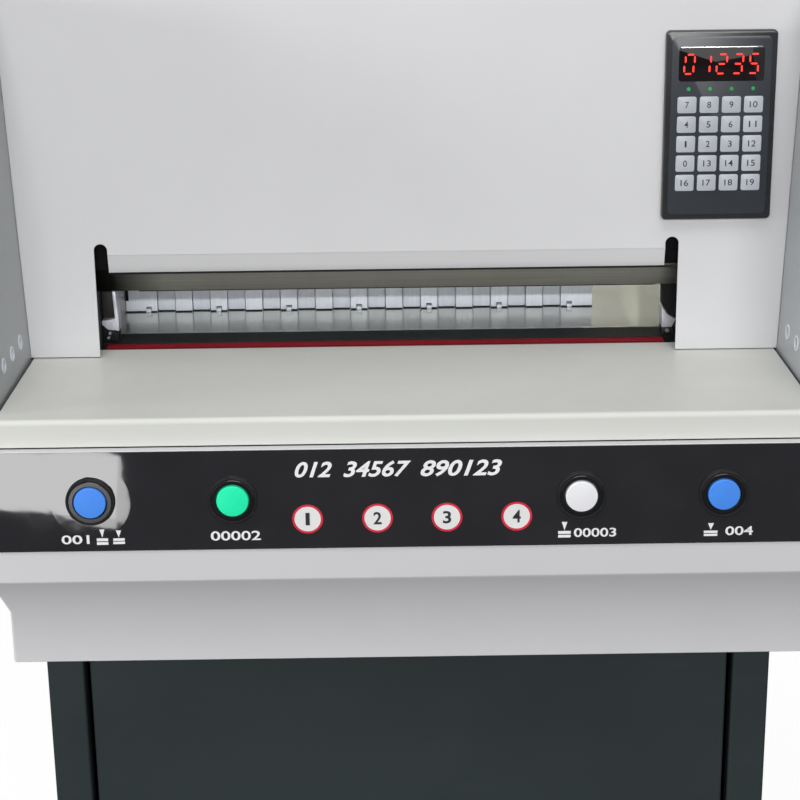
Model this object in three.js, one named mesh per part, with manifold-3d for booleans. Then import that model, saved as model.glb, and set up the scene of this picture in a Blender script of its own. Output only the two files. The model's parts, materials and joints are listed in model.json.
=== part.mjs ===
// Electric paper cutter with a 450 mm cut: a guillotine on a sheet-steel stand.
// Millimetres, +Z up, +Y to the back. The origin ends up on the floor, under the middle.
// The pieces are drawn in the table's frame: X from the middle of the body, Y from the
// front face of the front cover, Z from the top of the front table.
import * as THREE from 'three';
import { mergeVertices } from 'three/addons/utils/BufferGeometryUtils.js';
import Module from 'manifold-3d';

// Clearances
const touchGap = 0.3; // between pieces that are fastened together
const runGap = 0.5; // between pieces that slide or turn past each other
const overrun = 4; // how far a cutting tool runs past a face
const weld = 0.2; // how far welded walls sink into each other

// Body and covers
const tableHeight = 860; // floor to the top of the front table
const bodySideGap = 5.7; // knife guide to the cheek's inner face at table level
const bodyFlare = THREE.MathUtils.degToRad(2); // outward lean of the cheeks and side covers
const bodyDepth = 645; // front cover to the rear face
const sideThick = 9;
const coverSheet = 2;
const towerHeight = 330; // table to the top cover
const towerDepth = 220;
const towerSetback = 32; // slope above the front cover's vertical face
const towerTopSeam = 70; // where the front and rear covers meet on top
const hoodHeight = 180; // rear hood over the table
const hoodBevel = 30;
const hoodLean = 15; // how far the tower's back leans out at its foot
const coverFoot = 0.8; // joint under the front cover's legs

// Gate in the front cover
const gateOverLeft = 10.4; // gate's side beyond the clear bed
const gateOverRight = 5.7;
const gateTop = 86.5; // where the lintel band is folded back
const lintelBottom = 70.9;
const lintelLean = 4;
const slotWidth = 10.7;
const slotTop = 95.9;

// Cheeks with their photocell holes
const cheekReach = 150; // how far they stand out over the table
const cheekFrontHeight = 150;
const cheekTopReach = 60;
const cheekTopDrop = 14;
const cheekSkin = 2;
const eyeRadius = 6.6;
const eyeHeight = 24;
const eyeFirst = 35; // front cover to the first eye
const eyePitch = 33.5;
const eyeCount = 3;

// Base housing and its front panel
const housingWall = 3;
const housingTop = -21.9;
const housingReturn = 20; // panel's top edge, folded back under the table's lip
const housingReturnThick = 2.5;
const housingLedge = 9; // how far the housing stands out past the body
const panelFront = -175;
const panelBottom = -126.3;
const housingStep = -158.3; // foot of the under-slope
const housingBottom = -200.5;
const stepSide = 10.2;
const stepFront = 17;
const overlayThick = 1;
const overlayTop = -22.4;
const overlayBottom = -101;
const overlayEdge = 2; // strip of bare panel at each end
const basePlateThick = 8;

// Front table
const tableSideGap = 2.5; // front table to a cheek
const tableFront = -167;
const tableLip = 21.3;
const tableSheet = 2.5;
const tableRound = 4;
const tableReturn = 17;
const tableNotchGap = 7.5; // notch to the pull rod in it
const tableNotchFront = 4;

// Bed, cutting stick and rear table, placed about the middle of the cut
const cutMiddle = -11.1;
const bedWidth = 460;
const bedLevel = 1.5; // height above the front table
const stickFront = 24.3;
const stickDepth = 15.9;
const stickHeight = 11.2;
const bedBack = 72.4;
const bedFront = 6;
const bedDepth = 61.5; // its height
const rearTableThick = 10;
const rearTableInset = 48; // rear face to the table's end
const bedEndPlate = 5;
const bedEndFoot = 14;
const bedEndFront = 42;
const bedEndBack = 58;
const bedEndHeight = 44.5;
const bedEndShoulder = 18;
const fenceHeight = 60; // side fences on the rear table
const fenceEndInset = 50; // rear table's end to the fence's end
const fenceNose = 12; // chamfer at its front

// Side frames and top beam
const frameThick = 12;
const frameFront = 36.3;
const frameBack = 110;
const frameToe = -40;
const frameCap = 5; // frames' tops above the top beam
const frameFlange = 12;
const topBeamDrop = 85; // top cover to the beam
const topBeamHeight = 55;
const topBeamFront = 42;
const topBeamBack = 104;

// Knife
const knifeTravel = 46.4;
const bladeThick = 10;
const bladeOver = 25; // blade beyond the clear bed at each end
const bladeTop = 140;
const bladeBevel = 22.4; // height of the ground face
const bladeEdgeY = 34;
const bladeStickGap = 0.3; // edge above the stick at the bottom of its travel
const carrierOver = 15.5; // carrier beyond the pull rods
const carrierThick = 16;
const carrierLift = 1.4; // carrier's lower face above the ground face
const carrierTop = 150;
const guideWidth = 16;
const guideWall = 2.7;
const guideKeeper = 4.7;
const guideBottom = 18;
const guideTop = 175;

// Knife drive: pull rods, crank shaft, gearbox and motor
const rodGap = 8; // side frame to a pull rod
const rodThick = 9;
const rodFront = 10;
const rodDepth = 12;
const rodFoot = 14;
const yokeHeight = 28;
const yokeFront = -2;
const yokeBack = 35;
const shaftRadius = 12;
const shaftY = -8;
const shaftLift = 60.5; // base plate to the shaft's axis
const crankRadius = 30;
const crankPinRadius = 6;
const crankPlate = 5.5;
const crankEye = 15;
const yokeSlack = 2.2;
const gearboxMiddle = 151; // cut centre to its middle
const gearboxWidth = 80;
const gearboxFront = -58;
const gearboxBack = 42;
const gearboxRise = 50; // its top above the shaft's axis
const gearboxRound = 12;
const knifeMotorRadius = 54;
const knifeMotorLength = 190;
const knifeMotorFlange = 60;
const knifeMotorFlangeThick = 12;

// Clamp
const clampShortLeft = 19.1; // clamp's end inside the clear bed's
const clampShortRight = 6.9;
const clampFront = 36.4;
const clampBack = 74;
const clampBottom = 46.8;
const clampTop = 120;
const clampScrewRadius = 9;
const clampScrewGrip = 58;
const clampScrewWell = 66;
const clampCollarRadius = 14.4;
const clampCollarHeight = 9;
const clampRodRadius = 10;
const clampRodInset = 67; // clamp beam's end to a rod's axis
const clampRodOver = 21; // rods' tops above the top beam
const clampMotorHalf = 36;
const clampMotorHeight = 60;
const motorRound = 9;

// Backgauge
const gaugeFace = 145.5;
const combOverLeft = 7.6; // comb beyond the clear bed
const combShortRight = 48.6; // comb's right end inside the clear bed's
const combEnd = 28.3; // plain block at each end
const fingerCount = 23;
const fingerProud = 3;
const fingerRelief = 0.6; // joint line at each finger
const combThick = 12;
const combHeight = 60;
const combSoleDepth = 90;
const combSoleThick = 10;
const combLift = 0.6;
const notchWidth = 5;
const notchHeight = 4.4;
const notchDepth = 5;
const notchFingers = 4; // fingers from one notch to the next
const notchPairs = 3; // notches on each side of the middle one
const footWidth = 3.4;
const footSetback = 0.4; // feet behind the proud fingers' faces
const neckBehind = 75;
const neckHalf = 9;
const neckDepth = 40;
const carriageHalf = 55;
const carriageDepth = 46;
const carriageHeight = 48;
const gaugeSlotStart = 149;
const gaugeSlotMargin = 13; // slot's end to the rear table's end
const railSpacing = 35;
const railRadius = 8;
const railDrop = 35; // rail axis below the front table
const gaugeScrewRadius = 7;
const endPlateInset = 59; // rear face to the end plate
const endPlateThick = 12;
const gaugeMotorHalf = 28;
const gaugeMotorLength = 38;

// Push buttons
const bezelRadius = 18.5;
const bezelProud = 6;
const bezelBore = 12.4;
const bezelCollar = 14.6;
const bezelDepth = 16;
const bezelFloor = 2;
const bezelChamfer = 2.4;
const capRadius = 12;
const capThick = 6;
const capProud = 1;
const capDome = 1.2;
const capCrownShare = 0.75; // rise left at half the cap's radius
const capStem = 5;
const capTravel = 3.5;
const buttonHeight = -61;
const outerButtonInset = 81; // housing's side to an outer button
const buttonSpacing = 106.5; // outer button to its neighbour

// Console beside the gate
const consoleInset = 12.5; // cheek to the console
const consoleWidth = 87.5;
const consoleBottom = 111.5;
const consoleDrop = 68; // top cover to the console's top edge
const consoleThick = 8;
const consoleRound = 7;

// Mains inlet, switch and control box
const inletInset = 86; // housing's side to the inlet's middle
const inletZ = -74;
const inletWidth = 27.4;
const inletHeight = 20;
const inletDepth = 26;
const inletFlange = 4;
const inletFlangeThick = 2.5;
const inletWall = 2.2;
const inletSocket = 17;
const switchSpacing = 42; // inlet to switch
const switchWidth = 20;
const switchHeight = 27;
const switchThick = 12;
const switchTilt = THREE.MathUtils.degToRad(10);
const switchProud = 2.5;
const boxInset = 93; // housing's side to the control box
const boxWidth = 165;
const boxFront = 150;
const boxDepth = 190;
const boxHeight = 104;
const boxRim = 8;
const boxLid = 3;

// Stand
const standInset = 23.5; // housing's side to the stand's
const standFront = -100;
const standBackInset = 65; // rear face to the stand's back
const standSheet = 2;
const postWidth = 30;
const postReturn = 16;
const doorGap = 4.5; // between the door and a post
const doorSheet = 2;
const doorDepth = 15;
const doorRecess = 1.5;
const doorTopGap = 8;
const doorSill = 40;
const doorSillDepth = 16;
const doorSillGap = 4;
const pivotInset = 10; // door edge to its pivot
const pivotBack = 8.5;
const pivotRadius = 4;
const pivotLength = 6;
const latchInset = 26;
const latchShare = 0.62; // height of the knob as a share of the door's height
const latchKnobRadius = 14;
const latchKnobProud = 16;
const latchStem = 5;
const latchCamReach = 38;
const latchCamHalf = 7;
const latchCamThick = 3;
const latchGrip = 4;
const footRadius = 24;
const footPad = 13;
const footStud = 7;
const footHeight = 30;
const footInset = 45;

// Widths that follow, from the clear bed outwards
const bedHalf = bedWidth / 2;
const frameSide = bedHalf + bedEndFoot + runGap; // cut centre to a frame's inner face
const rodInner = frameSide + frameThick + rodGap;
const tableNotch = rodInner - tableNotchGap;
const carrierHalf = rodInner + rodThick + carrierOver;
const guideOuter = carrierHalf + runGap + guideWall;
const bladeHalf = bedHalf + bladeOver;
const bodyHalf = guideOuter - cutMiddle + bodySideGap;
const gateLeft = cutMiddle - bedHalf - gateOverLeft;
const gateRight = cutMiddle + bedHalf + gateOverRight;
const clampLeft = cutMiddle - bedHalf + clampShortLeft;
const clampRight = cutMiddle + bedHalf - clampShortRight;
const clampRodSpacing = (clampRight - clampLeft) / 2 - clampRodInset;
const combLeft = cutMiddle - bedHalf - combOverLeft;
const combRight = cutMiddle + bedHalf - combShortRight;
const tableHalf = bodyHalf - tableSideGap;
const housingHalf = bodyHalf + housingLedge;
const standHalf = housingHalf - standInset;
const doorHalf = standHalf - postWidth - doorGap;
const outerButtonX = housingHalf - outerButtonInset;
const innerButtonX = outerButtonX - buttonSpacing;
const consoleRight = bodyHalf - consoleInset;
const consoleLeft = consoleRight - consoleWidth;
const inletX = housingHalf - inletInset;
const switchX = inletX - switchSpacing;
const boxLeft = boxInset - housingHalf;

// Levels and places that follow
const floorLevel = -tableHeight;
const topBeamTop = towerHeight - topBeamDrop;
const topBeamBottom = topBeamTop - topBeamHeight;
const frameHeight = topBeamTop + frameCap;
const clampRodTop = topBeamTop + clampRodOver;
const consoleTop = towerHeight - consoleDrop;
const rearTableEnd = bodyDepth - rearTableInset;
const gaugeSlotEnd = rearTableEnd - gaugeSlotMargin;
const endPlateFront = bodyDepth - endPlateInset;
const bladeEdgeZ = bedLevel + bladeStickGap + knifeTravel;
const carrierBottom = bladeEdgeZ + bladeBevel + carrierLift;
const carrierBack = bladeEdgeY - bladeThick;
const carrierFront = carrierBack - carrierThick;
const basePlateTop = housingBottom + basePlateThick;
const shaftZ = basePlateTop + shaftLift;
const gearboxTop = shaftZ + gearboxRise;
const panelBack = panelFront + housingWall;
const housingRear = bodyDepth;
const tableUnder = -tableSheet - touchGap;
const rearTableUnder = bedLevel - rearTableThick;
const crankSwing = Math.asin(knifeTravel / 2 / crankRadius);
const clampMiddle = (clampLeft + clampRight) / 2;
const clampAxisY = (clampFront + clampBack) / 2;
const standBottom = floorLevel + footHeight;
const standTop = housingBottom - touchGap;
const standBack = bodyDepth - standBackInset;
const doorBottom = standBottom + doorSill + doorSillGap;
const doorTop = housingBottom - doorTopGap;
const doorFront = standFront + doorRecess;
const pivotX = -doorHalf + pivotInset;
const pivotY = doorFront + pivotBack;
const latchX = doorHalf - latchInset;
const latchZ = doorBottom + (doorTop - doorBottom) * latchShare;
const flareRun = Math.tan(bodyFlare);

const wasm = await Module();
wasm.setup();

const sidesRound = 32;
const sidesSmall = 20;
const sidesFoot = 24;

// Geometry helpers: every helper returns a closed manifold solid

function solidOf(geometry) {
  const bare = geometry.clone();
  bare.deleteAttribute('normal');
  bare.deleteAttribute('uv');
  const merged = mergeVertices(bare, 1e-4);
  return new wasm.Manifold(new wasm.Mesh({
    numProp: 3,
    vertProperties: Float32Array.from(merged.attributes.position.array),
    triVerts: Uint32Array.from(merged.index.array),
  }));
}

function geometryOf(solid) {
  const mesh = solid.getMesh();
  const geometry = new THREE.BufferGeometry();
  geometry.setAttribute('position', new THREE.BufferAttribute(mesh.vertProperties, 3));
  geometry.setIndex(new THREE.BufferAttribute(mesh.triVerts, 1));
  const flat = geometry.toNonIndexed();
  flat.computeVertexNormals();
  return flat;
}

function block([x0, x1], [y0, y1], [z0, z1]) {
  const geometry = new THREE.BoxGeometry(x1 - x0, y1 - y0, z1 - z0);
  geometry.translate((x0 + x1) / 2, (y0 + y1) / 2, (z0 + z1) / 2);
  return solidOf(geometry);
}

function prism(points, depth, basis) {
  const shape = new THREE.Shape(points.map(([u, v]) => new THREE.Vector2(u, v)));
  const geometry = new THREE.ExtrudeGeometry(shape, { depth, bevelEnabled: false });
  geometry.applyMatrix4(basis);
  return solidOf(geometry);
}

// Outline in Y and Z, thickness along +X
function slabX(points, x0, x1) {
  const basis = new THREE.Matrix4().makeBasis(
    new THREE.Vector3(0, 1, 0), new THREE.Vector3(0, 0, 1), new THREE.Vector3(1, 0, 0));
  return prism(points, x1 - x0, basis.setPosition(x0, 0, 0));
}

// Outline in X and Z, thickness along Y
function slabY(points, y0, y1) {
  const basis = new THREE.Matrix4().makeBasis(
    new THREE.Vector3(1, 0, 0), new THREE.Vector3(0, 0, 1), new THREE.Vector3(0, -1, 0));
  return prism(points, y1 - y0, basis.setPosition(0, y1, 0));
}

// Outline in X and Y, thickness along +Z
function slabZ(points, z0, z1) {
  return prism(points, z1 - z0, new THREE.Matrix4().setPosition(0, 0, z0));
}

function cylinder(radius, from, to, sides = sidesRound) {
  const start = new THREE.Vector3(...from);
  const run = new THREE.Vector3(...to).sub(start);
  const geometry = new THREE.CylinderGeometry(radius, radius, run.length(), sides);
  geometry.translate(0, run.length() / 2, 0);
  const turn = new THREE.Quaternion().setFromUnitVectors(
    new THREE.Vector3(0, 1, 0), run.clone().normalize());
  geometry.applyQuaternion(turn);
  geometry.translate(start.x, start.y, start.z);
  return solidOf(geometry);
}

// Turned piece: profile of [radius, distance] pairs about the given unit axis
function turned(profile, axis, sides = sidesRound) {
  const points = profile.map(([radius, along]) => new THREE.Vector2(radius, along));
  const geometry = new THREE.LatheGeometry(points, sides);
  geometry.applyQuaternion(new THREE.Quaternion().setFromUnitVectors(
    new THREE.Vector3(0, 1, 0), new THREE.Vector3(...axis)));
  const solid = solidOf(geometry);
  return solid.volume() > 0 ? solid : solidOf(flipped(geometry));
}

function flipped(geometry) {
  const turnedOver = geometry.clone();
  const index = turnedOver.index.array;
  for (let i = 0; i < index.length; i += 3) {
    [index[i], index[i + 1]] = [index[i + 1], index[i]];
  }
  return turnedOver;
}

function mirrorPoints(points) {
  return points.map(([u, v]) => [-u, v]).reverse();
}

function arc(centre, radius, from, to, steps) {
  return Array.from({ length: steps + 1 }, (_, i) => {
    const angle = from + (to - from) * i / steps;
    return [centre[0] + radius * Math.cos(angle), centre[1] + radius * Math.sin(angle)];
  });
}

function roundedRectangle([u0, u1], [v0, v1], radius, steps = 6) {
  const right = Math.PI / 2;
  return [
    ...arc([u1 - radius, v0 + radius], radius, -right, 0, steps),
    ...arc([u1 - radius, v1 - radius], radius, 0, right, steps),
    ...arc([u0 + radius, v1 - radius], radius, right, 2 * right, steps),
    ...arc([u0 + radius, v0 + radius], radius, 2 * right, 3 * right, steps),
  ];
}

// Moves each edge of a path by a distance to its left; closed for an outline
function offsetPath(points, distance, closed = false) {
  const count = points.length;
  const edge = (i) => {
    const a = points[(i + count) % count];
    const b = points[(i + 1 + count) % count];
    const length = Math.hypot(b[0] - a[0], b[1] - a[1]);
    return [(b[0] - a[0]) / length, (b[1] - a[1]) / length];
  };
  return points.map((point, i) => {
    const before = closed || i > 0 ? edge(i - 1) : edge(i);
    const after = closed || i < count - 1 ? edge(i) : edge(i - 1);
    const normal = [-(before[1] + after[1]), before[0] + after[0]];
    const scale = distance / (1 + before[0] * after[0] + before[1] * after[1]);
    return [point[0] + normal[0] * scale, point[1] + normal[1] * scale];
  });
}

// Outline of a bent sheet whose outer skin follows the path
function bentSheet(path, thickness) {
  return [...offsetPath(path, thickness), ...[...path].reverse()];
}

// Hollow frustum stack: levels of [z, half width, front, rear]
function tray(levels) {
  let solid = null;
  for (let i = 0; i + 1 < levels.length; i += 1) {
    const [z0, half0, front0, rear0] = levels[i];
    const [z1, half1, front1, rear1] = levels[i + 1];
    const geometry = new THREE.BoxGeometry(1, 1, 1);
    const position = geometry.attributes.position;
    for (let k = 0; k < position.count; k += 1) {
      const upper = position.getZ(k) > 0;
      const half = upper ? half0 : half1;
      const front = upper ? front0 : front1;
      const rear = upper ? rear0 : rear1;
      position.setXYZ(k, Math.sign(position.getX(k)) * half,
        position.getY(k) < 0 ? front : rear, upper ? z0 : z1);
    }
    const slice = solidOf(geometry);
    solid = solid ? solid.add(slice) : slice;
  }
  return solid;
}

const paint = (color, roughness, metalness = 0) =>
  new THREE.MeshStandardMaterial({ color, roughness, metalness });

const palette = {
  lightPaint: paint(0xcac9ca, 0.45),
  tablePaint: paint(0xb6b8b2, 0.2),
  cheekPaint: paint(0x9a9fa2, 0.25),
  standPaint: paint(0x2f3738, 0.4),
  blackGloss: paint(0x101012, 0.08),
  blackPlastic: paint(0x1c1c1e, 0.45),
  blackIron: paint(0x1d2021, 0.6),
  frameIron: paint(0x24272a, 0.6),
  carrierIron: paint(0x5d5c55, 0.5, 0.6),
  bladeSteel: paint(0x66655e, 0.4, 0.9),
  polishedSteel: paint(0xb5b8b9, 0.12, 1),
  brightSteel: paint(0xc9cccf, 0.3, 1),
  aluminium: paint(0xd0d4dc, 0.45, 0.7),
  redPlastic: paint(0x8a1c22, 0.45),
  motorPaint: paint(0x3c4a55, 0.5),
  gearboxPaint: paint(0x5a6468, 0.55),
  rubber: paint(0x161616, 0.85),
  boxZinc: paint(0x9da1a3, 0.45, 0.6),
  blueCap: paint(0x3f77e0, 0.3),
  greenCap: paint(0x1fd79a, 0.3),
  whiteCap: paint(0xdcdce2, 0.35),
};

const machine = new THREE.Group();

function add(name, solid, material, place = null) {
  const mesh = new THREE.Mesh(geometryOf(solid), material);
  mesh.name = name;
  if (place) {
    mesh.position.set(...place);
  }
  machine.add(mesh);
  return mesh;
}

const sides = [['left', -1], ['right', 1]];

// Span along X on one side of the cut, from two distances to its middle
function spanFromCut(side, near, far) {
  const ends = [cutMiddle + side * near, cutMiddle + side * far];
  return ends.sort((a, b) => a - b);
}

function addStand() {
  const inner = standHalf - postWidth;
  const shell = [
    [-inner, standFront + postReturn],
    [-inner, standFront],
    [-standHalf, standFront],
    [-standHalf, standBack],
    [standHalf, standBack],
    [standHalf, standFront],
    [inner, standFront],
    [inner, standFront + postReturn],
  ];
  // The path runs clockwise seen from above, so the sheet lies on its right
  add('stand_shell', slabZ(bentSheet(shell, -standSheet), standBottom, standTop),
    palette.standPaint);

  const floorHalf = standHalf - standSheet - touchGap;
  const sillHalf = standHalf - postWidth - touchGap;
  const floorFront = standFront + postReturn + touchGap;
  const floor = block([-floorHalf, floorHalf], [floorFront, standBack - standSheet - touchGap],
    [standBottom, standBottom + standSheet])
    .add(block([-sillHalf, sillHalf], [standFront, standFront + doorSillDepth],
      [standBottom, standBottom + doorSill]))
    .add(block([-sillHalf, sillHalf], [standFront + doorSillDepth - weld, floorFront + weld],
      [standBottom, standBottom + standSheet]))
    .add(cylinder(pivotRadius, [pivotX, pivotY, standBottom + doorSill - weld],
      [pivotX, pivotY, doorBottom + pivotLength], sidesSmall));
  add('stand_floor', floor, palette.standPaint);

  const profile = [
    [0, 0], [footRadius, 0], [footRadius, footPad / 2], [footRadius - footPad / 2, footPad],
    [footStud, footPad], [footStud, footHeight - touchGap], [0, footHeight - touchGap],
  ];
  for (const [sideName, side] of sides) {
    for (const [rowName, y] of [['front', standFront + footInset], ['rear', standBack - footInset]]) {
      add(`foot_${rowName}_${sideName}`, turned(profile, [0, 0, 1], sidesFoot),
        palette.rubber, [side * (standHalf - footInset), y, floorLevel]);
    }
  }
}

function addDoor() {
  const back = doorFront + doorDepth;
  const pan = block([-doorHalf, doorHalf], [doorFront, back], [doorBottom, doorTop])
    .subtract(block([-doorHalf + doorSheet, doorHalf - doorSheet],
      [doorFront + doorSheet, back + overrun], [doorBottom + doorSheet, doorTop - doorSheet]))
    .subtract(cylinder(pivotRadius + runGap, [pivotX, pivotY, doorBottom - overrun],
      [pivotX, pivotY, doorBottom + doorSheet + overrun], sidesSmall))
    .subtract(cylinder(pivotRadius + runGap, [pivotX, pivotY, doorTop - doorSheet - overrun],
      [pivotX, pivotY, doorTop + overrun], sidesSmall))
    .subtract(cylinder(latchStem + runGap, [latchX, doorFront - overrun, latchZ],
      [latchX, doorFront + doorSheet + overrun, latchZ], sidesSmall));
  add('cabinet_door', pan, palette.standPaint);

  const camFront = back + runGap + touchGap;
  const camBack = camFront + latchCamThick;
  const knobFront = doorFront - latchKnobProud;
  const latch = cylinder(latchKnobRadius, [0, knobFront, 0], [0, doorFront - runGap, 0], sidesRound)
    .subtract(block([latchGrip, latchKnobRadius + overrun],
      [knobFront - overrun, knobFront + latchKnobProud / 2], [-latchKnobRadius, latchKnobRadius]))
    .subtract(block([-latchKnobRadius - overrun, -latchGrip],
      [knobFront - overrun, knobFront + latchKnobProud / 2], [-latchKnobRadius, latchKnobRadius]))
    .add(cylinder(latchStem, [0, doorFront - runGap - weld, 0], [0, camFront + weld, 0], sidesSmall))
    .add(block([-latchCamHalf, latchCamHalf], [camFront, camBack],
      [-latchCamHalf, latchCamReach]));
  add('door_latch', latch, palette.brightSteel, [latchX, 0, latchZ]);
}

function addBase() {
  const rear = housingRear;
  const outer = [
    [housingTop, housingHalf, panelFront, rear],
    [panelBottom, housingHalf, panelFront, rear],
    [housingStep, housingHalf - stepSide, panelFront + stepFront, rear - stepSide],
    [housingBottom, housingHalf - stepSide, panelFront + stepFront, rear - stepSide],
  ];
  const inner = outer.map(([z, half, front, back]) =>
    [z, half - housingWall, front + housingWall, back - housingWall]);
  inner[0][0] += overrun;
  inner[inner.length - 1][0] -= overrun;
  const returnHalf = housingHalf - housingWall + weld;
  let housing = tray(outer).subtract(tray(inner))
    .add(block([-returnHalf, returnHalf],
      [panelFront + housingWall - weld, panelFront + housingReturn],
      [housingTop - housingReturnThick, housingTop]));
  for (const x of buttonPlaces.map((button) => button.x)) {
    housing = housing.subtract(cylinder(bezelCollar + touchGap,
      [x, panelFront - overrun, buttonHeight], [x, panelBack + overrun, buttonHeight]));
  }
  const half = inletWidth / 2 + touchGap;
  const tall = inletHeight / 2 + touchGap;
  housing = housing
    .subtract(block([inletX - half, inletX + half], [rear - housingWall - overrun, rear + overrun],
      [inletZ - tall, inletZ + tall]))
    .subtract(block([switchX - switchWidth / 2 - runGap, switchX + switchWidth / 2 + runGap],
      [rear - housingWall - overrun, rear + overrun],
      [inletZ - switchHeight / 2 - runGap, inletZ + switchHeight / 2 + runGap]));
  add('base_housing', housing, palette.lightPaint);

  const plateHalf = housingHalf - stepSide - housingWall - touchGap;
  const plate = block([-plateHalf, plateHalf],
    [panelFront + stepFront + housingWall + touchGap, rear - stepSide - housingWall - touchGap],
    [housingBottom, basePlateTop])
    .add(cylinder(pivotRadius, [pivotX, pivotY, doorTop - pivotLength],
      [pivotX, pivotY, housingBottom + weld], sidesSmall));
  add('base_plate', plate, palette.blackIron);
}

function addFrontTable() {
  const right = Math.PI / 2;
  const back = stickFront - touchGap;
  const path = [
    [back, 0],
    ...arc([tableFront + tableRound, -tableRound], tableRound, right, 2 * right, 5),
    [tableFront, -tableLip],
    [tableFront + tableReturn, -tableLip],
  ];
  // The path runs from the back edge to the front, so the sheet lies on its left, below
  let table = slabX(bentSheet(path, tableSheet), -tableHalf, tableHalf);
  for (const [, side] of sides) {
    const notch = [cutMiddle + side * tableNotch, side * (tableHalf + overrun)];
    table = table.subtract(block(notch.sort((a, b) => a - b),
      [tableNotchFront, back + overrun], [-tableSheet - overrun, overrun]));
  }
  add('front_table', table, palette.tablePaint);
}

function addFrames() {
  const bottom = basePlateTop + touchGap;
  const outline = [
    [frameToe, bottom], [frameBack, bottom], [frameBack, frameHeight],
    [frameFront, frameHeight], [frameFront, tableUnder], [frameToe, tableUnder],
  ];
  for (const [sideName, side] of sides) {
    const plate = spanFromCut(side, frameSide, frameSide + frameThick);
    const flangeSpan = spanFromCut(side, frameSide + frameThick - weld, carrierHalf + guideWall);
    const frame = slabX(outline, ...plate)
      .add(block(flangeSpan, [frameFront, frameFront + frameFlange], [tableUnder, frameHeight]))
      .subtract(cylinder(shaftRadius + runGap, [plate[0] - overrun, shaftY, shaftZ],
        [plate[1] + overrun, shaftY, shaftZ]));
    add(`frame_${sideName}`, frame, palette.frameIron);
  }
  const beamSpan = [cutMiddle - frameSide + touchGap, cutMiddle + frameSide - touchGap];
  let beam = block(beamSpan, [topBeamFront, topBeamBack], [topBeamBottom, topBeamTop]);
  const bores = [
    [0, clampScrewRadius], [-clampRodSpacing, clampRodRadius], [clampRodSpacing, clampRodRadius],
  ];
  for (const [offset, radius] of bores) {
    beam = beam.subtract(cylinder(radius + runGap,
      [clampMiddle + offset, clampAxisY, topBeamBottom - overrun],
      [clampMiddle + offset, clampAxisY, topBeamTop + overrun]));
  }
  add('top_beam', beam, palette.frameIron);
}

function addBed() {
  const span = [cutMiddle - frameSide + touchGap, cutMiddle + frameSide - touchGap];
  const stickBack = stickFront + stickDepth;
  const grooveFloor = bedLevel - stickHeight - touchGap;
  const outline = [
    [bedFront, bedLevel - bedDepth], [bedBack, bedLevel - bedDepth], [bedBack, bedLevel],
    [stickBack + touchGap, bedLevel], [stickBack + touchGap, grooveFloor],
    [stickFront - touchGap, grooveFloor], [stickFront - touchGap, tableUnder],
    [bedFront, tableUnder],
  ];
  add('bed_beam', slabX(outline, ...span), palette.blackIron);

  const stickHalf = bedWidth / 2;
  add('cutting_stick', block([cutMiddle - stickHalf, cutMiddle + stickHalf],
    [stickFront, stickBack], [bedLevel - stickHeight, bedLevel]), palette.redPlastic);

  const fenceThick = combLeft - runGap - span[0];
  const fenceFront = bedBack + touchGap;
  const fenceBack = rearTableEnd - fenceEndInset;
  const fenceTop = bedLevel + touchGap + fenceHeight;
  const fenceFrom = (low) => [
    [fenceFront, low], [fenceBack, low], [fenceBack, fenceTop],
    [fenceFront + fenceNose, fenceTop], [fenceFront, fenceTop - fenceNose],
  ];

  // The right fence is folded up from the table, the left one stands on it
  const slotHalf = neckHalf + runGap + touchGap;
  const rearTable = block(span, [bedBack + touchGap, rearTableEnd], [rearTableUnder, bedLevel])
    .subtract(block([cutMiddle - slotHalf, cutMiddle + slotHalf],
      [gaugeSlotStart, gaugeSlotEnd], [rearTableUnder - overrun, bedLevel + overrun]))
    .add(slabX(fenceFrom(rearTableUnder), span[1] - fenceThick, span[1]));
  add('rear_table', rearTable, palette.polishedSteel);

  // Bracket outline from its inner face outwards, drawn for the right side
  const foot = bedLevel + touchGap;
  const bracket = [
    [0, foot], [bedEndFoot, foot], [bedEndFoot, foot + bedEndShoulder],
    [bedEndPlate, foot + bedEndShoulder + bedEndPlate], [bedEndPlate, foot + bedEndHeight],
    [0, foot + bedEndHeight],
  ];
  for (const [sideName, side] of sides) {
    const outlineHere = side > 0 ? bracket : mirrorPoints(bracket);
    add(`bed_end_${sideName}`, slabY(outlineHere, bedEndFront, bedEndBack), palette.brightSteel,
      [cutMiddle + side * stickHalf, 0, 0]);
  }

  add('side_fence', slabX(fenceFrom(foot), span[0], span[0] + fenceThick), palette.brightSteel);
}

function addKnife() {
  const carrier = block([cutMiddle - carrierHalf, cutMiddle + carrierHalf],
    [carrierFront, carrierBack], [carrierBottom, carrierTop]);
  add('knife_carrier', carrier, palette.carrierIron);

  const blade = [
    [bladeEdgeY, bladeEdgeZ], [bladeEdgeY, bladeTop],
    [carrierBack, bladeTop], [carrierBack, bladeEdgeZ + bladeBevel],
  ];
  add('knife_blade', slabX(blade, cutMiddle - bladeHalf, cutMiddle + bladeHalf),
    palette.bladeSteel);

  for (const [sideName, side] of sides) {
    const body = block(spanFromCut(side, guideOuter - guideWidth, guideOuter),
      [carrierFront - runGap - guideKeeper, frameFront - touchGap], [guideBottom, guideTop]);
    const channel = block(spanFromCut(side, guideOuter - guideWidth - overrun, carrierHalf + runGap),
      [carrierFront - runGap, carrierBack + runGap], [guideBottom - overrun, guideTop + overrun]);
    add(`knife_guide_${sideName}`, body.subtract(channel), palette.blackIron);
  }
}

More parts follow.
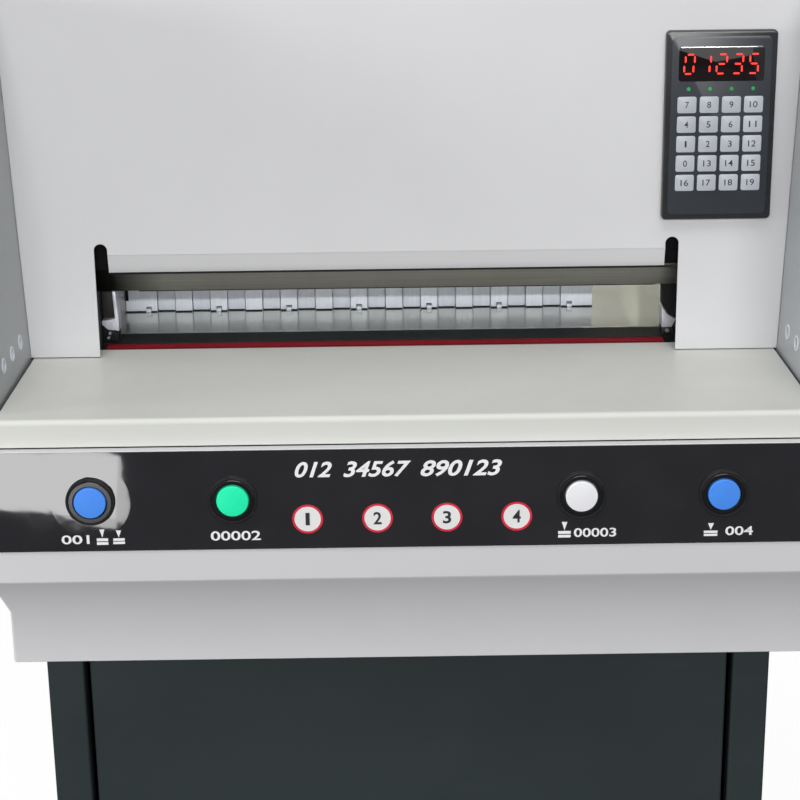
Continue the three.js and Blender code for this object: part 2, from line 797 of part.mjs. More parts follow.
function addKnifeDrive() {
  const pinZ = shaftZ + crankRadius * Math.sin(crankSwing);
  const pinY = shaftY + crankRadius * Math.cos(crankSwing);
  const slotHalfHeight = crankPinRadius + yokeSlack;
  const slotY = [pinY - crankPinRadius - yokeSlack, shaftY + crankRadius + crankPinRadius + yokeSlack];
  for (const [sideName, side] of sides) {
    const span = spanFromCut(side, rodInner, rodInner + rodThick);
    const rod = block(span, [rodFront, rodFront + rodDepth], [pinZ, carrierBottom - touchGap])
      .add(block(span, [carrierFront, carrierBack],
        [carrierBottom - touchGap - rodFoot, carrierBottom - touchGap]))
      .add(block(span, [yokeFront, yokeBack], [pinZ - yokeHeight / 2, pinZ + yokeHeight / 2]))
      .subtract(block([span[0] - overrun, span[1] + overrun], slotY,
        [pinZ - slotHalfHeight, pinZ + slotHalfHeight]));
    add(`pull_rod_${sideName}`, rod, palette.brightSteel);
  }

  const armOuter = rodInner - runGap;
  const armInner = armOuter - crankPlate;
  let shaft = cylinder(shaftRadius, [cutMiddle - armOuter, shaftY, shaftZ],
    [cutMiddle + armOuter, shaftY, shaftZ]);
  const run = [Math.cos(crankSwing), Math.sin(crankSwing)];
  const across = [-run[1] * crankEye, run[0] * crankEye];
  const tip = [shaftY + run[0] * crankRadius, shaftZ + run[1] * crankRadius];
  const web = [
    [shaftY - across[0], shaftZ - across[1]], [tip[0] - across[0] / 2, tip[1] - across[1] / 2],
    [tip[0] + across[0] / 2, tip[1] + across[1] / 2], [shaftY + across[0], shaftZ + across[1]],
  ];
  for (const [, side] of sides) {
    const [a, b] = spanFromCut(side, armInner, armOuter);
    const pinSpan = spanFromCut(side, armInner, rodInner + rodThick + touchGap);
    shaft = shaft
      .add(slabX(web, a, b))
      .add(cylinder(crankEye, [a, shaftY, shaftZ], [b, shaftY, shaftZ]))
      .add(cylinder(crankEye / 2, [a, ...tip], [b, ...tip], sidesSmall))
      .add(cylinder(crankPinRadius, [pinSpan[0], ...tip], [pinSpan[1], ...tip], sidesSmall));
  }
  add('knife_shaft', shaft, palette.brightSteel);

  const middle = cutMiddle + gearboxMiddle;
  const bottom = basePlateTop + touchGap;
  const outline = roundedRectangle([gearboxFront, gearboxBack], [bottom, gearboxTop],
    gearboxRound);
  const gearbox = slabX(outline, middle - gearboxWidth / 2, middle + gearboxWidth / 2)
    .subtract(cylinder(shaftRadius + runGap,
      [middle - gearboxWidth / 2 - overrun, shaftY, shaftZ],
      [middle + gearboxWidth / 2 + overrun, shaftY, shaftZ]));
  add('gearbox', gearbox, palette.gearboxPaint);

  const axisZ = bottom + knifeMotorFlange;
  const motorProfile = [
    [0, 0], [knifeMotorFlange, 0], [knifeMotorFlange, knifeMotorFlangeThick],
    [knifeMotorRadius, knifeMotorFlangeThick], [knifeMotorRadius, knifeMotorLength],
    [knifeMotorRadius - knifeMotorFlangeThick, knifeMotorLength + knifeMotorFlangeThick],
    [0, knifeMotorLength + knifeMotorFlangeThick],
  ];
  add('knife_motor', turned(motorProfile, [0, 1, 0]), palette.motorPaint,
    [middle, gearboxBack + touchGap, axisZ]);
}

function addClamp() {
  const beam = block([clampLeft, clampRight], [clampFront, clampBack], [clampBottom, clampTop])
    .subtract(cylinder(clampScrewRadius + runGap,
      [clampMiddle, clampAxisY, clampTop - clampScrewWell],
      [clampMiddle, clampAxisY, clampTop + overrun]));
  add('clamp_beam', beam, palette.blackIron);
  for (const [sideName, side] of sides) {
    const x = clampMiddle + side * clampRodSpacing;
    add(`clamp_rod_${sideName}`, cylinder(clampRodRadius, [x, clampAxisY, clampTop],
      [x, clampAxisY, clampRodTop]), palette.brightSteel);
  }
  const screw = cylinder(clampScrewRadius, [clampMiddle, clampAxisY, clampTop - clampScrewGrip],
    [clampMiddle, clampAxisY, topBeamTop + runGap])
    .add(cylinder(clampCollarRadius,
      [clampMiddle, clampAxisY, topBeamBottom - runGap - clampCollarHeight],
      [clampMiddle, clampAxisY, topBeamBottom - runGap]));
  add('clamp_screw', screw, palette.brightSteel);
  const motorBottom = topBeamTop + runGap + touchGap;
  const motor = slabZ(roundedRectangle([clampMiddle - clampMotorHalf, clampMiddle + clampMotorHalf],
    [clampAxisY - clampMotorHalf, clampAxisY + clampMotorHalf], motorRound),
  motorBottom, motorBottom + clampMotorHeight);
  add('clamp_motor', motor, palette.motorPaint);
}

function addComb() {
  const bottom = bedLevel + combLift;
  const pitch = (combRight - combLeft - 2 * combEnd) / fingerCount;
  const middle = (combLeft + combRight) / 2;
  const outline = [
    [gaugeFace, bottom], [gaugeFace + combSoleDepth, bottom],
    [gaugeFace + combSoleDepth, bottom + combSoleThick], [gaugeFace + combThick, bottom + combSoleThick],
    [gaugeFace + combThick, bottom + combHeight], [gaugeFace, bottom + combHeight],
  ];
  let comb = slabX(outline, combLeft, combRight);
  const firstFinger = combLeft + combEnd;
  const lastFinger = combRight - combEnd;
  const joint = fingerRelief / 2;
  const proudSpans = [[combLeft, firstFinger - joint], [lastFinger + joint, combRight]];
  for (let i = 1; i < fingerCount; i += 2) {
    const start = firstFinger + i * pitch;
    proudSpans.push([start + joint, start + pitch - joint]);
  }
  for (const proudSpan of proudSpans) {
    comb = comb.add(block(proudSpan, [gaugeFace - fingerProud, gaugeFace + weld],
      [bottom, bottom + combHeight]));
  }
  for (let i = -notchPairs; i <= notchPairs; i += 1) {
    const x = middle + i * notchFingers * pitch;
    comb = comb
      .subtract(block([x - notchWidth / 2, x + notchWidth / 2],
        [gaugeFace - fingerProud - overrun, gaugeFace + notchDepth],
        [bottom - overrun, bottom + notchHeight]))
      .add(block([x - footWidth / 2, x + footWidth / 2],
        [gaugeFace - fingerProud + footSetback, gaugeFace + notchDepth + weld],
        [bottom, bottom + notchHeight / 2]));
  }
  add('gauge_comb', comb, palette.aluminium);
}

function addGauge() {
  addComb();
  const neckY = gaugeFace + neckBehind;
  const top = rearTableUnder - runGap - touchGap;
  const axes = [[0, gaugeScrewRadius], [-railSpacing, railRadius], [railSpacing, railRadius]];
  let carriage = block([cutMiddle - carriageHalf, cutMiddle + carriageHalf],
    [neckY - carriageDepth / 2, neckY + carriageDepth / 2], [top - carriageHeight, top])
    .add(block([cutMiddle - neckHalf, cutMiddle + neckHalf],
      [neckY - neckDepth / 2 + neckHalf, neckY + neckDepth / 2 - neckHalf],
      [top - weld, bedLevel + combLift]));
  for (const [offset, radius] of axes) {
    carriage = carriage.subtract(cylinder(radius + runGap,
      [cutMiddle + offset, neckY - carriageDepth, -railDrop],
      [cutMiddle + offset, neckY + carriageDepth, -railDrop]));
  }
  add('gauge_carriage', carriage, palette.blackIron);

  const rodStart = bedBack + touchGap;
  for (const [sideName, side] of sides) {
    const x = cutMiddle + side * railSpacing;
    add(`gauge_rail_${sideName}`, cylinder(railRadius, [x, rodStart, -railDrop],
      [x, endPlateFront - touchGap, -railDrop]), palette.brightSteel);
  }
  const screwEnd = endPlateFront + endPlateThick + touchGap;
  add('gauge_screw', cylinder(gaugeScrewRadius, [cutMiddle, rodStart, -railDrop],
    [cutMiddle, screwEnd, -railDrop]), palette.brightSteel);

  const plateHalf = frameSide - touchGap;
  const endPlate = block([cutMiddle - plateHalf, cutMiddle + plateHalf],
    [endPlateFront, endPlateFront + endPlateThick],
    [basePlateTop + touchGap, rearTableUnder - touchGap])
    .subtract(cylinder(gaugeScrewRadius + runGap,
      [cutMiddle, endPlateFront - overrun, -railDrop],
      [cutMiddle, endPlateFront + endPlateThick + overrun, -railDrop]));
  add('gauge_end_plate', endPlate, palette.frameIron);

  const motorFront = screwEnd + touchGap;
  add('gauge_motor', slabY(roundedRectangle([cutMiddle - gaugeMotorHalf, cutMiddle + gaugeMotorHalf],
    [-railDrop - gaugeMotorHalf, rearTableUnder - touchGap], motorRound),
  motorFront, motorFront + gaugeMotorLength), palette.motorPaint);
}

// Wedge between the leaning side covers: everything inside it fits the body
function bodyWedge(y0, y1) {
  const half = (z) => bodyHalf + z * flareRun - touchGap;
  const low = housingTop + touchGap;
  const high = towerHeight + overrun;
  return slabY([[-half(low), low], [half(low), low], [half(high), high], [-half(high), high]],
    y0, y1);
}

function addCovers() {
  const wide = bodyHalf * 2;
  const frontPath = [
    [0, coverFoot], [0, towerHeight - towerSetback], [towerSetback, towerHeight],
    [towerTopSeam, towerHeight],
  ];
  // The path climbs the outer skin, so the sheet lies on its right, inside
  let front = slabX(bentSheet(frontPath, -coverSheet), -wide, wide)
    .intersect(bodyWedge(-overrun, bodyDepth));
  front = front.subtract(block([gateLeft, gateRight], [-overrun, coverSheet + overrun],
    [coverFoot - overrun, gateTop]));
  const slotRadius = slotWidth / 2;
  for (const x of [gateLeft + slotRadius, gateRight - slotRadius]) {
    front = front
      .subtract(block([x - slotRadius, x + slotRadius], [-overrun, coverSheet + overrun],
        [gateTop - overrun, slotTop - slotRadius]))
      .subtract(cylinder(slotRadius, [x, -overrun, slotTop - slotRadius],
        [x, coverSheet + overrun, slotTop - slotRadius]));
  }
  const lintel = [
    [lintelLean, lintelBottom], [lintelLean + coverSheet, lintelBottom],
    [coverSheet, gateTop + weld], [0, gateTop + weld],
  ];
  front = front.add(slabX(lintel, gateLeft + slotWidth, gateRight - slotWidth));
  add('front_cover', front, palette.lightPaint);

  const rearPath = [
    [towerTopSeam + touchGap, towerHeight], [towerDepth, towerHeight],
    [towerDepth + hoodLean, hoodHeight], [bodyDepth - hoodBevel, hoodHeight],
    [bodyDepth, hoodHeight - hoodBevel], [bodyDepth, housingTop + touchGap],
  ];
  add('rear_cover', slabX(bentSheet(rearPath, -coverSheet), -wide, wide)
    .intersect(bodyWedge(0, bodyDepth + overrun)), palette.lightPaint);

  const foot = housingTop + touchGap + sideThick * Math.sin(bodyFlare);
  const outline = [
    [0, foot], [bodyDepth, foot], [bodyDepth, hoodHeight - hoodBevel],
    [bodyDepth - hoodBevel, hoodHeight], [towerDepth + hoodLean, hoodHeight],
    [towerDepth, towerHeight], [towerSetback, towerHeight], [0, towerHeight - towerSetback],
  ];
  const pocket = offsetPath(outline, coverSheet, true);
  const cheekOutline = [
    [-cheekReach, foot], [-touchGap, foot], [-touchGap, towerHeight - towerSetback],
    [-cheekTopReach, towerHeight - towerSetback - cheekTopDrop], [-cheekReach, cheekFrontHeight],
  ];
  const cheekPocket = offsetPath(cheekOutline, cheekSkin, true)
    .map(([y, z]) => [y > -cheekTopReach / 2 ? overrun : y, z]);
  for (const [sideName, side] of sides) {
    const pan = slabX(outline, 0, sideThick)
      .subtract(slabX(pocket, -overrun, sideThick - coverSheet));
    let cheek = slabX(cheekOutline, 0, sideThick)
      .subtract(slabX(cheekPocket, cheekSkin, sideThick - cheekSkin));
    for (let i = 0; i < eyeCount; i += 1) {
      const y = -eyeFirst - i * eyePitch;
      cheek = cheek.subtract(cylinder(eyeRadius, [-overrun, y, eyeHeight],
        [cheekSkin + weld, y, eyeHeight]));
    }
    for (const [name, solid, material] of [
      [`side_cover_${sideName}`, pan, palette.lightPaint],
      [`cheek_${sideName}`, cheek, palette.cheekPaint],
    ]) {
      const handed = side > 0 ? solid : solid.mirror([1, 0, 0]);
      const mesh = add(name, handed, material, [side * bodyHalf, 0, 0]);
      mesh.rotation.y = side * bodyFlare;
    }
  }
}

const buttonPlaces = [
  { name: 'cut_button_left', x: -outerButtonX, material: palette.blueCap },
  { name: 'power_button', x: -innerButtonX, material: palette.greenCap },
  { name: 'reset_button', x: innerButtonX, material: palette.whiteCap },
  { name: 'cut_button_right', x: outerButtonX, material: palette.blueCap },
];

function addControls() {
  const face = panelFront - overlayThick;
  const overlayHalf = housingHalf - overlayEdge;
  let overlay = block([-overlayHalf, overlayHalf], [face, panelFront],
    [overlayBottom, overlayTop]);
  for (const { x } of buttonPlaces) {
    overlay = overlay.subtract(cylinder(bezelCollar + touchGap,
      [x, face - overrun, buttonHeight], [x, panelFront + overrun, buttonHeight]));
  }
  add('control_overlay', overlay, palette.blackGloss);

  // Turned profiles are measured backwards from the overlay's face
  const bezel = [
    [0, bezelDepth - bezelFloor], [bezelBore, bezelDepth - bezelFloor],
    [bezelBore, -bezelProud + bezelChamfer], [bezelBore + bezelChamfer, -bezelProud],
    [bezelRadius - bezelChamfer / 2, -bezelProud], [bezelRadius, -bezelProud + bezelChamfer],
    [bezelRadius, -touchGap], [bezelCollar, -touchGap], [bezelCollar, bezelDepth], [0, bezelDepth],
  ];
  const capFront = -bezelProud - capProud;
  const stemEnd = bezelDepth - bezelFloor - capTravel - runGap;
  const cap = [
    [0, capFront - capDome], [capRadius / 2, capFront - capDome * capCrownShare],
    [capRadius - capDome, capFront], [capRadius, capFront + capDome],
    [capRadius, capFront + capThick], [capStem, capFront + capThick], [capStem, stemEnd],
    [0, stemEnd],
  ];
  for (const { name, x, material } of buttonPlaces) {
    add(`${name}_bezel`, turned(bezel, [0, 1, 0]), palette.blackPlastic, [x, face, buttonHeight]);
    add(name, turned(cap, [0, 1, 0]), material, [x, face, buttonHeight]);
  }

  add('console', slabY(roundedRectangle([consoleLeft, consoleRight], [consoleBottom, consoleTop],
    consoleRound), -consoleThick - touchGap, -touchGap), palette.blackGloss);
}

function addElectrics() {
  const rear = housingRear;
  const half = inletWidth / 2;
  const tall = inletHeight / 2;
  const inlet = block([-half, half], [-inletDepth, 0], [-tall, tall])
    .add(block([-half - inletFlange, half + inletFlange], [touchGap, touchGap + inletFlangeThick],
      [-tall - inletFlange, tall + inletFlange]))
    .add(block([-half, half], [-weld, touchGap + weld], [-tall, tall]))
    .subtract(block([-half + inletWall, half - inletWall],
      [-inletSocket + inletFlangeThick, inletFlangeThick + overrun],
      [-tall + inletWall, tall - inletWall]));
  add('mains_inlet', inlet, palette.blackPlastic, [inletX, rear, inletZ]);

  const wide = switchWidth / 2;
  const high = switchHeight / 2;
  const rocker = [
    [-switchThick, -high / 2], [-switchThick, high / 2], [0, high - runGap],
    [switchProud, high - 2 * runGap], [0, 0], [switchProud, -high + 2 * runGap],
    [0, -high + runGap],
  ];
  const rockerMesh = add('main_switch', slabX([...rocker].reverse(), -wide, wide),
    palette.blackPlastic, [switchX, rear, inletZ]);
  rockerMesh.rotation.x = -switchTilt;

  const bottom = basePlateTop + touchGap;
  const box = block([boxLeft, boxLeft + boxWidth], [boxFront, boxFront + boxDepth],
    [bottom, bottom + boxHeight])
    .add(block([boxLeft - boxRim, boxLeft + boxWidth + boxRim],
      [boxFront - boxRim, boxFront + boxDepth + boxRim], [bottom, bottom + boxLid]))
    .add(block([boxLeft - boxLid, boxLeft + boxWidth + boxLid],
      [boxFront - boxLid, boxFront + boxDepth + boxLid],
      [bottom + boxHeight - boxLid, bottom + boxHeight + boxLid]));
  add('control_box', box, palette.boxZinc);
}

addStand();
addDoor();
addBase();
addFrontTable();
addFrames();
addBed();
addKnife();
addKnifeDrive();
addClamp();
addGauge();
addCovers();
addControls();
addElectrics();

// The origin: on the floor, under the middle of the whole machine
machine.updateMatrixWorld(true);
const reach = new THREE.Box3().setFromObject(machine);
machine.position.set(0, -(reach.min.y + reach.max.y) / 2, tableHeight);
machine.updateMatrixWorld(true);

export default machine;
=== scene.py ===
import json
import math
import random

import bmesh
import bpy
from mathutils import Matrix, Vector

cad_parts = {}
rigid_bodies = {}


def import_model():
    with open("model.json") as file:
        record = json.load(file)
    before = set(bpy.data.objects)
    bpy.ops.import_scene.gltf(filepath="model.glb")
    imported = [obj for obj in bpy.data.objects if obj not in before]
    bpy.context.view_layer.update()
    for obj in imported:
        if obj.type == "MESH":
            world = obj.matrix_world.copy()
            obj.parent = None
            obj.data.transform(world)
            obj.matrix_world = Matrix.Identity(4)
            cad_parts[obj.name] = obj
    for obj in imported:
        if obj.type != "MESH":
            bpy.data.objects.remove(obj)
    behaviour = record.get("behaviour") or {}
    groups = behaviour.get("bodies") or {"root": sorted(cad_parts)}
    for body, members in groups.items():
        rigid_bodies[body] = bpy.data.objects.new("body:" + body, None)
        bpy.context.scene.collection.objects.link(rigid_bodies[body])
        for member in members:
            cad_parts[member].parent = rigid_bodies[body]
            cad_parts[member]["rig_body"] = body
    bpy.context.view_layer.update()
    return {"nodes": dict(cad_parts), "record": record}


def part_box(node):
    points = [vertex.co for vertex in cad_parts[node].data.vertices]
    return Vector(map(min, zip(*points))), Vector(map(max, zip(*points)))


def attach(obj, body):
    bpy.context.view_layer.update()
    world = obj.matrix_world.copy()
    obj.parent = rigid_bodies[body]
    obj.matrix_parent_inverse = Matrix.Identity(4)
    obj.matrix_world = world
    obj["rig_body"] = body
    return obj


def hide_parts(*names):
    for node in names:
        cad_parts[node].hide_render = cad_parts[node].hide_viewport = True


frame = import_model()

# Sizes are in millimetres, apart from the weld, the lamps and the floor, which are in metres
MM = 0.001
WELD = 0.00001
FLAT = math.radians(0.4)
CREASE = math.radians(25)
NORMAL_BEND = math.radians(35)
ROUND = 48
SMALL_ROUND = 20
FINE_ROUND = 64

random.seed(45)

# The table's frame, in millimetres: X from the middle of the body, Y from the front cover's
# front face, Z from the top of the front table
TABLE_ORIGIN = Vector((0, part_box("front_cover")[0].y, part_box("front_table")[1].z))
FRONT, BACK = Vector((0, -1, 0)), Vector((0, 1, 0))
UP, RIGHT = Vector((0, 0, 1)), Vector((1, 0, 0))


def at(x, y, z):
    return TABLE_ORIGIN + Vector((x, y, z)) * MM


def node_box(name):
    """Lowest and highest corner of a CAD node in the table's frame, in millimetres."""
    low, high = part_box(name)
    return (low - TABLE_ORIGIN) / MM, (high - TABLE_ORIGIN) / MM


def linked(name, data):
    """A new object of the scene."""
    made = bpy.data.objects.new(name, data)
    bpy.context.scene.collection.objects.link(made)
    return made


# Camera

CAMERA_PLACE = (-8.16, -1488.94, 429.34)
CAMERA_PITCH = math.radians(17.5)
CAMERA_YAW = math.radians(-0.164)
CAMERA_ROLL = math.radians(0.731)
CAMERA_LENS = 84.14
CAMERA_SENSOR = 36


def add_camera():
    data = bpy.data.cameras.new("camera")
    data.lens = CAMERA_LENS
    data.sensor_width = CAMERA_SENSOR
    camera = linked("camera", data)
    turn = (Matrix.Rotation(CAMERA_YAW, 4, "Z")
            @ Matrix.Rotation(math.pi / 2 - CAMERA_PITCH, 4, "X")
            @ Matrix.Rotation(-CAMERA_ROLL, 4, "Z"))
    camera.matrix_world = Matrix.Translation(at(*CAMERA_PLACE)) @ turn
    bpy.context.scene.camera = camera


# Node helpers

def srgb(red, green, blue):
    """Linear colour of a shade given as it looks, 0 to 255."""
    shares = [value / 255 for value in (red, green, blue)]
    return tuple(s / 12.92 if s <= 0.04045 else ((s + 0.055) / 1.055) ** 2.4 for s in shares) + (1,)


def node(tree, kind, inputs=None, **settings):
    """A node whose inputs, by name or number, are linked to sockets or set to plain values."""
    made = tree.nodes.new(kind)
    for key, value in settings.items():
        setattr(made, key, value)
    for name, value in (inputs or {}).items():
        socket = made.inputs[name]
        if isinstance(value, bpy.types.NodeSocket):
            tree.links.new(value, socket)
        else:
            socket.default_value = value
    return made


def new_group(name, inputs, outputs):
    tree = bpy.data.node_groups.new(name, "ShaderNodeTree")
    for label, value in inputs.items():
        kind = "NodeSocketVector" if isinstance(value, tuple) else "NodeSocketFloat"
        tree.interface.new_socket(label, in_out="INPUT", socket_type=kind).default_value = value
    for label, kind in outputs.items():
        tree.interface.new_socket(label, in_out="OUTPUT", socket_type=kind)
    return tree, tree.nodes.new("NodeGroupInput").outputs, tree.nodes.new("NodeGroupOutput")


def math_node(tree, operation, *values):
    made = node(tree, "ShaderNodeMath", dict(enumerate(values)), operation=operation)
    return made.outputs[0]


def feed(tree, receiver, **sockets):
    """Links sockets to the inputs of a node."""
    for label, socket in sockets.items():
        tree.links.new(socket, receiver.inputs[label.replace("_", " ")])


def spread(tree, value, low, high, start=0.0, end=1.0):
    """Maps a value from low..high to start..end, clamped."""
    made = node(tree, "ShaderNodeMapRange", {
        "Value": value, "From Min": low, "From Max": high, "To Min": start, "To Max": end})
    return made.outputs["Result"]


def noise(tree, where, size, detail=2.0, roughness=0.5):
    made = node(tree, "ShaderNodeTexNoise", {
        "Vector": where, "Scale": size, "Detail": detail, "Roughness": roughness})
    return made.outputs["Fac"]


def bump(tree, height, strength, distance, normal=None):
    inputs = {"Height": height, "Strength": strength, "Distance": distance}
    if normal is not None:
        inputs["Normal"] = normal
    return node(tree, "ShaderNodeBump", inputs).outputs["Normal"]


def object_place(tree):
    return node(tree, "ShaderNodeTexCoord").outputs["Object"]


# Shared effects

def make_paint_skin():
    """Sprayed enamel: fine orange peel, a slow waviness of the sheet and soft clouds of tone."""
    tree, given, out = new_group(
        "paint_skin",
        {"Peel Size": 900.0, "Peel Depth": 0.1, "Wave Size": 9.0, "Wave Depth": 0.1,
         "Cloud Size": 4.0},
        {"Cloud": "NodeSocketFloat", "Speck": "NodeSocketFloat", "Normal": "NodeSocketVector"})
    where = object_place(tree)
    peel = noise(tree, where, given["Peel Size"], 2)
    wave = noise(tree, where, given["Wave Size"], 1)
    cloud = noise(tree, where, given["Cloud Size"], 4, 0.6)
    wavy = bump(tree, wave, given["Wave Depth"], 0.002)
    peeled = bump(tree, peel, given["Peel Depth"], 0.0002, wavy)
    feed(tree, out, Cloud=spread(tree, cloud, 0.3, 0.7), Speck=spread(tree, peel, 0.35, 0.65),
         Normal=peeled)
    return tree


def make_ground_grain():
    """Ground or brushed metal: long thin streaks, given as a squeezed place."""
    tree, given, out = new_group(
        "ground_grain",
        {"Stretch": (6.0, 900.0, 900.0), "Depth": 0.15, "Stain Size": 14.0},
        {"Streak": "NodeSocketFloat", "Stain": "NodeSocketFloat", "Normal": "NodeSocketVector"})
    where = object_place(tree)
    squeezed = node(tree, "ShaderNodeVectorMath", {0: where, 1: given["Stretch"]},
                    operation="MULTIPLY")
    streak = noise(tree, squeezed.outputs[0], 1.0, 3, 0.6)
    stain = noise(tree, where, given["Stain Size"], 5, 0.65)
    feed(tree, out, Streak=spread(tree, streak, 0.3, 0.7), Stain=spread(tree, stain, 0.35, 0.68),
         Normal=bump(tree, streak, given["Depth"], 0.0001))
    return tree


def make_cast_skin():
    """Painted casting: pitted, rougher in the pits, with soft clouds of tone."""
    tree, given, out = new_group(
        "cast_skin", {"Pit Size": 350.0, "Depth": 0.4},
        {"Pits": "NodeSocketFloat", "Cloud": "NodeSocketFloat", "Normal": "NodeSocketVector"})
    where = object_place(tree)
    grit = noise(tree, where, given["Pit Size"], 4, 0.7)
    cells = node(tree, "ShaderNodeTexVoronoi", {"Vector": where, "Scale": given["Pit Size"]})
    pits = spread(tree, cells.outputs["Distance"], 0.05, 0.35)
    height = math_node(tree, "MULTIPLY_ADD", pits, 0.4, grit)
    feed(tree, out, Pits=pits, Cloud=spread(tree, noise(tree, where, 12, 4), 0.3, 0.7),
         Normal=bump(tree, height, given["Depth"], 0.0004))
    return tree


def make_moulded_skin():
    """Moulded plastic or rubber: an even spark-eroded grain."""
    tree, given, out = new_group(
        "moulded_skin", {"Grain Size": 1800.0, "Depth": 0.15},
        {"Grain": "NodeSocketFloat", "Cloud": "NodeSocketFloat", "Normal": "NodeSocketVector"})
    where = object_place(tree)
    grain = noise(tree, where, given["Grain Size"], 2)
    feed(tree, out, Grain=spread(tree, grain, 0.35, 0.65),
         Cloud=spread(tree, noise(tree, where, 30, 3), 0.3, 0.7),
         Normal=bump(tree, grain, given["Depth"], 0.0001))
    return tree


def make_scuffs():
    """Few hair-thin scratches that cross each other, as a mask."""
    tree, given, out = new_group(
        "scuffs", {"Scratch Size": 7.0, "Share": 0.02}, {"Mask": "NodeSocketFloat"})
    where = object_place(tree)
    masks = []
    for turn, seed in ((0.5, 3.0), (-0.7, 11.0)):
        turned_place = node(tree, "ShaderNodeMapping", {
            "Vector": where, "Location": (seed, seed, seed),
            "Rotation": (turn, turn / 2, turn), "Scale": (1.0, 26.0, 26.0)})
        lines = noise(tree, turned_place.outputs["Vector"], given["Scratch Size"], 0)
        off = math_node(tree, "ABSOLUTE", math_node(tree, "SUBTRACT", lines, 0.5))
        thin = math_node(tree, "LESS_THAN", off, given["Share"])
        patch = spread(tree, noise(tree, where, 5 + seed, 2), 0.55, 0.7)
        masks.append(math_node(tree, "MULTIPLY", thin, patch))
    feed(tree, out, Mask=math_node(tree, "MAXIMUM", *masks))
    return tree


def make_settled_dust():
    """Fine dust on faces that look up, in uneven patches."""
    tree, given, out = new_group("settled_dust", {"Patch Size": 9.0}, {"Mask": "NodeSocketFloat"})
    normal = node(tree, "ShaderNodeNewGeometry").outputs["Normal"]
    lift = node(tree, "ShaderNodeSeparateXYZ", {"Vector": normal}).outputs["Z"]
    faces = spread(tree, lift, 0.6, 1.0)
    patches = spread(tree, noise(tree, object_place(tree), given["Patch Size"], 6, 0.7), 0.4, 0.75)
    feed(tree, out, Mask=math_node(tree, "MULTIPLY", faces, patches))
    return tree


# Materials

# Stretch of a grain that runs along each axis, and of one that runs nowhere
ALONG_X = (6.0, 900.0, 900.0)
ALONG_Y = (900.0, 6.0, 900.0)
ALONG_Z = (900.0, 900.0, 6.0)
EVEN = (60.0, 60.0, 60.0)


def effect(tree, group_tree, **values):
    made = tree.nodes.new("ShaderNodeGroup")
    made.node_tree = group_tree
    for name, value in values.items():
        made.inputs[name.replace("_", " ")].default_value = value
    return made.outputs


def colour_mix(tree, mask, first, second):
    made = node(tree, "ShaderNodeMix", {0: mask, 6: first, 7: second}, data_type="RGBA")
    return made.outputs[2]


def mix_surface(tree, mask, first, second, output):
    """Ends a tree with the second shader where the mask is 1 and the first elsewhere."""
    mix = node(tree, "ShaderNodeMixShader",
               {0: mask, 1: first.outputs[0], 2: second.outputs[0]})
    tree.links.new(mix.outputs[0], tree.nodes[output].inputs["Surface"])


def new_material(name, **uniform):
    """A material with its Principled BSDF, whose plain values sit on their own sockets."""
    material = bpy.data.materials.new(name)
    material.use_nodes = True
    tree = material.node_tree
    shader = tree.nodes["Principled BSDF"]
    for label, value in uniform.items():
        shader.inputs[label.replace("_", " ")].default_value = value
    return material, tree, shader


def painted(name, low, high, rough, peel=0.1, wave=0.1, specular=0.5, dusty=0.0, peel_size=900.0):
    """Enamel that drifts between two near tones, with a little dust on level faces."""
    material, tree, shader = new_material(name, Specular_IOR_Level=specular)
    skin = effect(tree, PAINT_SKIN, Peel_Depth=peel, Wave_Depth=wave, Peel_Size=peel_size)
    colour = colour_mix(tree, skin["Cloud"], srgb(*low), srgb(*high))
    dust = math_node(tree, "MULTIPLY", effect(tree, SETTLED_DUST)["Mask"], dusty)
    colour = colour_mix(tree, dust, colour, DUST_COLOUR)
    scratched = effect(tree, SCUFFS)["Mask"]
    gloss = spread(tree, skin["Speck"], 0, 1, rough * 0.92, rough * 1.08)
    gloss = math_node(tree, "MULTIPLY_ADD", dust, 0.3, gloss)
    gloss = math_node(tree, "MULTIPLY_ADD", scratched, 0.06, gloss)
    feed(tree, shader, Base_Color=colour, Roughness=gloss, Normal=skin["Normal"])
    return material


def ground_metal(name, low, high, rough, stretch=ALONG_X, depth=0.15, stain=0.0,
                 stain_colour=(70, 62, 50), metallic=1.0):
    """Bare metal with grinding or turning marks and a trace of staining."""
    material, tree, shader = new_material(name, Metallic=metallic)
    grain = effect(tree, GROUND_GRAIN, Stretch=stretch, Depth=depth)
    colour = colour_mix(tree, grain["Streak"], srgb(*low), srgb(*high))
    stained = math_node(tree, "MULTIPLY", grain["Stain"], stain)
    colour = colour_mix(tree, stained, colour, srgb(*stain_colour))
    gloss = spread(tree, grain["Streak"], 0, 1, rough * 0.8, rough * 1.2)
    gloss = math_node(tree, "MULTIPLY_ADD", stained, 0.25, gloss)
    feed(tree, shader, Base_Color=colour, Roughness=gloss, Normal=grain["Normal"])
    return material


def plain_skin(name, group_tree, depth, grain, low, high, gloss, **uniform):
    """A finish that drifts between two near tones under the grain of a shared effect."""
    material, tree, shader = new_material(name, **uniform)
    skin = effect(tree, group_tree, Depth=depth)
    colour = colour_mix(tree, skin["Cloud"], srgb(*low), srgb(*high))
    feed(tree, shader, Base_Color=colour, Roughness=spread(tree, skin[grain], 0, 1, *gloss),
         Normal=skin["Normal"])
    return material


def cast_iron(name, low, high, rough=0.55, depth=0.4, specular=0.4):
    return plain_skin(name, CAST_SKIN, depth, "Pits", low, high, (rough * 1.2, rough * 0.9),
                      Specular_IOR_Level=specular)


def moulded(name, low, high, rough, depth=0.15, coat=0.0, specular=0.5, **more):
    return plain_skin(name, MOULDED_SKIN, depth, "Grain", low, high, (rough * 0.9, rough * 1.1),
                      Coat_Weight=coat, Coat_Roughness=0.05, Specular_IOR_Level=specular, **more)


